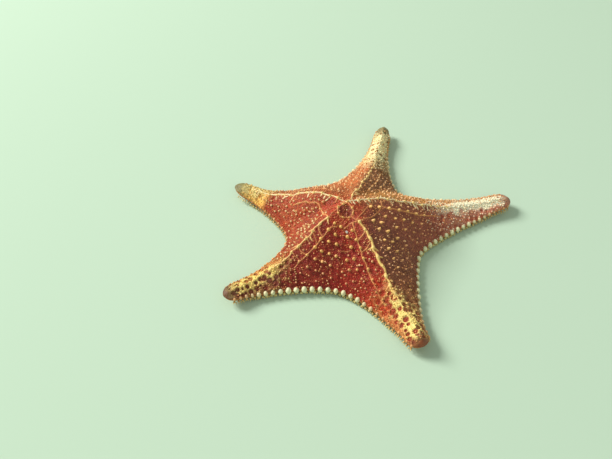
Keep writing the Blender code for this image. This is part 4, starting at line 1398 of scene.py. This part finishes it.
def makeMarginForms(name, settings):
    # flattened rounds whose own Z points outwards, as wide along the margin as the settings say
    shape = turned(settings["profile"], settings["sides"])
    found = alongBays(settings["pitch"], settings["pitchEnd"])
    spots, outward, lifts, place = found[:, :2], found[:, 2:4], found[:, 4], found[:, 5]
    bay = np.rint(found[:, 6]).astype(int)
    count = len(spots)
    toEnd = smooth((place - bayShrinkFrom[bay]) / 0.30, 0, 1)
    size = jittered(count, 0.10) * (1 - settings["shrink"] * toEnd) * baySize[bay]
    warmth = np.clip(bayWarmth[bay] + 0.85 * toEnd, 0, 1)
    z = unit(np.column_stack((outward, np.full(count, settings["tilt"]))))
    x = np.column_stack((leftOf(outward), np.zeros(count)))
    axes = np.stack((x, np.cross(z, x), z), 1)
    roots = np.column_stack((spots + outward * settings["offset"], settings["height"] + lifts))
    scale = np.stack([settings[key] * size * jittered(count, 0.08) for key in ("along", "tall", "out")], -1)
    tone = mixed(settings["pale"], settings["warm"], warmth) * jittered(count, 0.10)[:, None]
    inner = smooth(-shape[0][:, 2], -0.15, 0.5)
    ground = sampled(pigment, spots - outward * 0.002) * 0.8
    colours = mixed(tone[:, None], ground[:, None], inner[None])
    setForms(name, shape, roots, axes, scale, colours, beadMaterial)


makeMarginForms("margin_beads", beads)
makeMarginForms("lower_beads", lowerBeads)


# Fringe: short blunt spines of the lower marginal plates
fringe = dict(pitch=0.0020, radius=0.00042, length=0.0018, sides=6, height=0.0019, offset=0.0008, droop=0.35,
              lean=0.15,
              profile=((0, 1.0), (0.6, 0.93), (0.95, 0.6), (1.0, 0.0), (0, -0.3)), pale=paint(238, 214, 132))


def makeFringe():
    # rods that point outwards and down from the lower edge
    found = alongBays(fringe["pitch"], fringe["pitch"])
    spots, outward, lifts = found[:, :2], found[:, 2:4], found[:, 4]
    way = unit(np.column_stack((outward, np.full(len(spots), -fringe["droop"]))))
    roots = np.column_stack((spots + outward * fringe["offset"], fringe["height"] + lifts * 0.9))
    size = jittered(len(spots), 0.25)
    scale = np.stack((size * fringe["radius"], size * fringe["radius"] * 0.8, size * fringe["length"]), -1)
    axes = leaningAxes(way, fringe["lean"])
    colours = fringe["pale"] * jittered(len(spots), 0.12)[:, None]
    setForms("fringe_spines", turned(fringe["profile"], fringe["sides"]), roots, axes, scale, colours,
             beadMaterial)


makeFringe()


# Tip plates: the smooth bare end of each arm
tipPlate = dict(start=0.948, swell=0.07, inset=0.90, rows=26, columns=40, edge=(0.950, 0.966), ragged=0.012,
                edgePale=0.15)
tipLook = dict(mottleScale=500.0, mottle=0.5, fineScale=1800.0, fineHeight=0.00012, grainScale=1300.0,
               grainHeight=0.00022, grainShade=0.3, rough=0.46, roughSpread=0.2, specular=0.35)


def makeTipPlates():
    # a cap that follows the upper side a little over it, from margin to margin, and is closed by the
    # same grid sunk into the arm
    places = np.linspace(tipPlate["start"], 1, tipPlate["rows"])
    place, share = np.meshgrid(places, np.linspace(-1, 1, tipPlate["columns"] + 1), indexing="ij")
    points, faces, colours, last = [], [], [], 0
    for index, arm in enumerate(arms):
        top = bothSides(index, place, share, upperSide)
        middle = midline(arm, np.array(arm["reach"] - 0.6 * arm["endLength"]))[0]
        core = np.array((*middle, form["tipMiddle"] + form["tipLift"]))
        swell = 1 + tipPlate["swell"] * smooth(place, tipPlate["start"], tipPlate["start"] + 0.010)
        grids = [core + (top - core) * swell[..., None], core + (top - core) * tipPlate["inset"]]
        numbers = [last + k * place.size + np.arange(place.size).reshape(place.shape) for k in (0, 1)]
        last += 2 * place.size
        rim = [np.concatenate((n[::-1, 0], n[0, 1:], n[1:, -1])) for n in numbers]
        faces += [gridFaces(numbers[0]), gridFaces(numbers[1])[:, ::-1],
                  np.stack((rim[0][:-1], rim[0][1:], rim[1][1:], rim[1][:-1]), -1)]
        marksAndSideShade = markingsAndSideShade[arm["name"]]
        tone = 0.75 + 0.5 * patches(grids[0][..., :2], 0.0022, 51)
        ragged = place + tipPlate["ragged"] * (patches(grids[0][..., :2], 0.002, 52) - 0.5)
        edgeBlend = tipPlate["edgePale"] * (1 - smooth(ragged, *tipPlate["edge"]))
        colour = mixed(marksAndSideShade["tip"] * tone[..., None], marksAndSideShade["net"] * 0.75, edgeBlend)
        points += [grid.reshape(-1, 3) for grid in grids]
        colours += [colour.reshape(-1, 3), colour.reshape(-1, 3)]
    piece = makePiece("tip_plates", np.concatenate(points), [np.concatenate(faces)], np.concatenate(colours),
                      livingSurface("tip_plate", tipLook))
    closeUp(piece)
    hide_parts(*[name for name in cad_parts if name.startswith("tip_")])


makeTipPlates()


# Sieve plate: a low round button in the valley between the two front arms
sieve = dict(heading=264.0, distance=0.0262, radius=0.0013, height=0.0007, sides=20,
             pale=paint(224, 222, 210),
             profile=((0, 1.0), (0.35, 0.97), (0.70, 0.78), (0.92, 0.40), (1.0, 0.0), (0, -0.8)))


def makeSieve():
    # one turned shape on the skin, square to it
    points, normal = surface(ahead(sieve["heading"])[None] * sieve["distance"])
    setForms("sieve_plate", turned(sieve["profile"], sieve["sides"]), points,
             framesAbout(normal, np.zeros(1)),
             roundScale(np.ones(1), sieve), sieve["pale"][None], beadMaterial)


makeSieve()


# Underside: furrow spines and broader spines beside each groove, tube feet in it, grains on the
# plates between the arms, and spines on the jaws round the mouth
under = dict(footPitch=0.0026, footRadius=0.00055, footShare=0.45, footSink=0.0004, footClear=0.00045,
             lean=0.10, jawRadius=0.0088, jawBow=0.0016, jawHalf=0.0030, jawSpines=7,
             jawThick=(0.00062, 0.00050), jawLength=0.0030, jawShorter=0.0009,
             rod=((0, 1.0), (0.55, 0.94), (0.85, 0.70), (1.0, 0.10), (0, -0.30)),
             foot=((0, 1.0), (0.95, 0.98), (1.05, 0.90), (0.60, 0.82), (0.62, 0.40), (0.75, 0.0), (0, -0.05)),
             spine=paint(232, 190, 122), footPaint=paint(226, 164, 112), grain=paint(228, 176, 108))
underGrain = dict(spacing=0.0024, radius=0.00085, height=0.0012, clear=0.0034, fromMiddle=0.012)
furrowSpines = dict(pitch=0.0021, offset=0.0003, radius=0.00038, length=0.0015, inward=0.35, start=0.0105)
broadSpines = dict(pitch=0.0034, offset=0.0022, radius=0.00070, length=0.0016, inward=0.10, start=0.0115)


def grooveSpots(pitch, share, offset, start):
    # spots beside all five grooves, one pitch apart, at share * half width + offset from the groove's
    # middle, as columns: x, y, inward x, inward y, lift, distance along the arm and its share of the reach
    found = []
    for index, side in ((index, side) for index in range(5) for side in (1, -1)):
        arm = arms[index]
        distance = np.arange(start, arm["reach"] - arm["endLength"] * 0.5, pitch)
        centre, way = midline(arm, distance)
        across = leftOf(way) * side
        spots = centre + across * (grooveHalf(arm, distance) * share + offset)[:, None]
        lift = endLift(index, distance)
        found.append(np.column_stack((spots, -across, lift, distance, distance / arm["reach"])))
    return np.concatenate(found)


def makeUnderSpines(name, settings):
    # rods that point down and lean towards the groove
    found = grooveSpots(settings["pitch"], 1, settings["offset"], settings["start"])
    count = len(found)
    way = unit(np.column_stack((found[:, 2:4] * settings["inward"], -np.ones(count))))
    roots = np.column_stack((found[:, :2], form["underFlat"] + found[:, 4]))
    size = jittered(count, 0.10)
    thick = size * settings["radius"]
    scale = np.stack((thick, thick * 0.8, np.minimum(size, 1.0) * settings["length"]), -1)
    axes = leaningAxes(way, under["lean"])
    colours = under["spine"] * jittered(count, 0.12)[:, None]
    setForms(name, turned(under["rod"], 6), roots, axes, scale, colours, beadMaterial, 1)


makeUnderSpines("furrow_spines", furrowSpines)
makeUnderSpines("broad_spines", broadSpines)


def makeTubeFeet():
    # two rows of feet with flat suckers hang from each groove's roof to just above the floor
    found = grooveSpots(under["footPitch"], under["footShare"], 0.0, 0.0095)
    count = len(found)
    roof = grooveDepth(found[:, 6]) * (1 - under["footShare"] ** 2) + under["footSink"]
    drop = roof - under["footClear"] * jittered(count, 0.3)
    roots = np.column_stack((found[:, :2], roof + found[:, 4]))
    axes = leaningAxes(np.tile((0.0, 0.0, -1.0), (count, 1)), under["lean"])
    radius = under["footRadius"] * jittered(count, 0.15)
    scale = np.stack((radius, radius, drop), -1)
    colours = under["footPaint"] * jittered(count, 0.12)[:, None]
    setForms("tube_feet", turned(under["foot"], 8), roots, axes, scale, colours, waxMaterial, 1)


makeTubeFeet()


def makeUnderGrains():
    # low cones between the grooves and the margins, pointing down
    spots, pick = scattered(underGrain["spacing"], 53)
    place, share = sampled(placeLayer, spots), np.clip(sampled(shareLayer, spots), 0, 1)
    clear, lift = np.full(len(spots), 1.0), np.zeros(len(spots))
    for index, arm in enumerate(arms):
        distance = np.clip(spots @ ahead(arm["heading"]), 0, arm["reach"])
        gap = np.linalg.norm(spots - midline(arm, distance)[0], axis=-1)
        clear = np.minimum(clear, gap - grooveHalf(arm, distance))
        lift = np.where((gap < 0.022) & (distance > 0.05), endLift(index, distance), lift)
    keep = (clear > underGrain["clear"]) & (np.linalg.norm(spots, axis=-1) > underGrain["fromMiddle"])
    keep &= (place < 0.93) & (share < 0.97)
    spots, place, share, lift = spots[keep], place[keep], share[keep], lift[keep]
    roots = np.column_stack((spots, form["underFlat"] + underRise(place, share) + lift))
    size = 0.6 + 0.5 * pick.random(len(spots))
    down = unit(np.array((0.0, 0.0, -1.0)) + (pick.random((len(spots), 3)) - 0.5) * 0.3)
    axes = framesAbout(down, pick.random(len(spots)) * math.tau)
    colours = under["grain"] * (0.85 + 0.3 * pick.random(len(spots)))[:, None]
    setForms("under_grains", turned(granule["profile"], 7), roots, axes, roundScale(size, underGrain),
             colours, beadMaterial, 1)


makeUnderGrains()


def makeJaws():
    # jaw spines between the grooves, in arcs, pointing down and into the mouth
    roots, ways, lengths = [], [], []
    for index in range(5):
        outward = unit(notchPoint(index))
        for k in np.linspace(-1, 1, under["jawSpines"]):
            spot = outward * (under["jawRadius"] - under["jawBow"] * (1 - abs(k)))
            spot = spot + leftOf(outward) * under["jawHalf"] * k
            roots.append((*spot, form["underFlat"] + 0.0006))
            ways.append((*(-outward * 0.9 + leftOf(outward) * 0.25 * k), -0.42))
            lengths.append(under["jawLength"] - under["jawShorter"] * abs(k))
    roots, ways, lengths = np.array(roots), unit(np.array(ways)), np.array(lengths)
    scale = np.column_stack((np.tile(under["jawThick"], (len(roots), 1)), lengths))
    axes = framesAbout(ways, np.zeros(len(roots)))
    setForms("jaw_spines", turned(under["rod"], 8), roots, axes, scale,
             np.tile(under["spine"], (len(roots), 1)), beadMaterial, 1)


makeJaws()


# Floor and light: a plain pale floor, a soft key from the left and behind, a weak fill
studio = dict(floorSize=8.0, floor=(0.56, 0.72, 0.545), world=(0.90, 0.96, 0.88), worldStrength=0.41,
              keyPlace=(-3.1, 1.6, 2.5), keySize=1.5, keyPower=212.0,
              fillPlace=(0.9, -1.6, 1.4), fillSize=1.6, fillPower=3.5)


def makeStudio():
    # one flat square under the star, square lamps that face its middle, and an even pale sky
    half = studio["floorSize"] / 2
    mesh = bpy.data.meshes.new("floor")
    mesh.from_pydata([(-half, -half, 0), (half, -half, 0), (half, half, 0), (-half, half, 0)], [],
                     [(0, 1, 2, 3)])
    floor = bpy.data.objects.new("floor", mesh)
    bpy.context.scene.collection.objects.link(floor)
    material = bpy.data.materials.new("floor")
    material.use_nodes = True
    shader = material.node_tree.nodes["Principled BSDF"]
    shader.inputs["Base Color"].default_value = (*studio["floor"], 1)
    shader.inputs["Roughness"].default_value = 0.9
    shader.inputs["Specular IOR Level"].default_value = 0.1
    mesh.materials.append(material)
    for name in ("key", "fill"):
        lamp = bpy.data.lights.new(name, "AREA")
        lamp.size = studio[name + "Size"]
        lamp.energy = studio[name + "Power"]
        item = bpy.data.objects.new(name, lamp)
        item.location = studio[name + "Place"]
        item.rotation_euler = (-item.location).to_track_quat("-Z", "Y").to_euler()
        bpy.context.scene.collection.objects.link(item)
    world = bpy.data.worlds.new("studio")
    world.use_nodes = True
    backdrop = world.node_tree.nodes["Background"]
    backdrop.inputs["Color"].default_value = (*studio["world"], 1)
    backdrop.inputs["Strength"].default_value = studio["worldStrength"]
    bpy.context.scene.world = world
    bpy.context.scene.view_settings.view_transform = "Standard"


makeStudio()
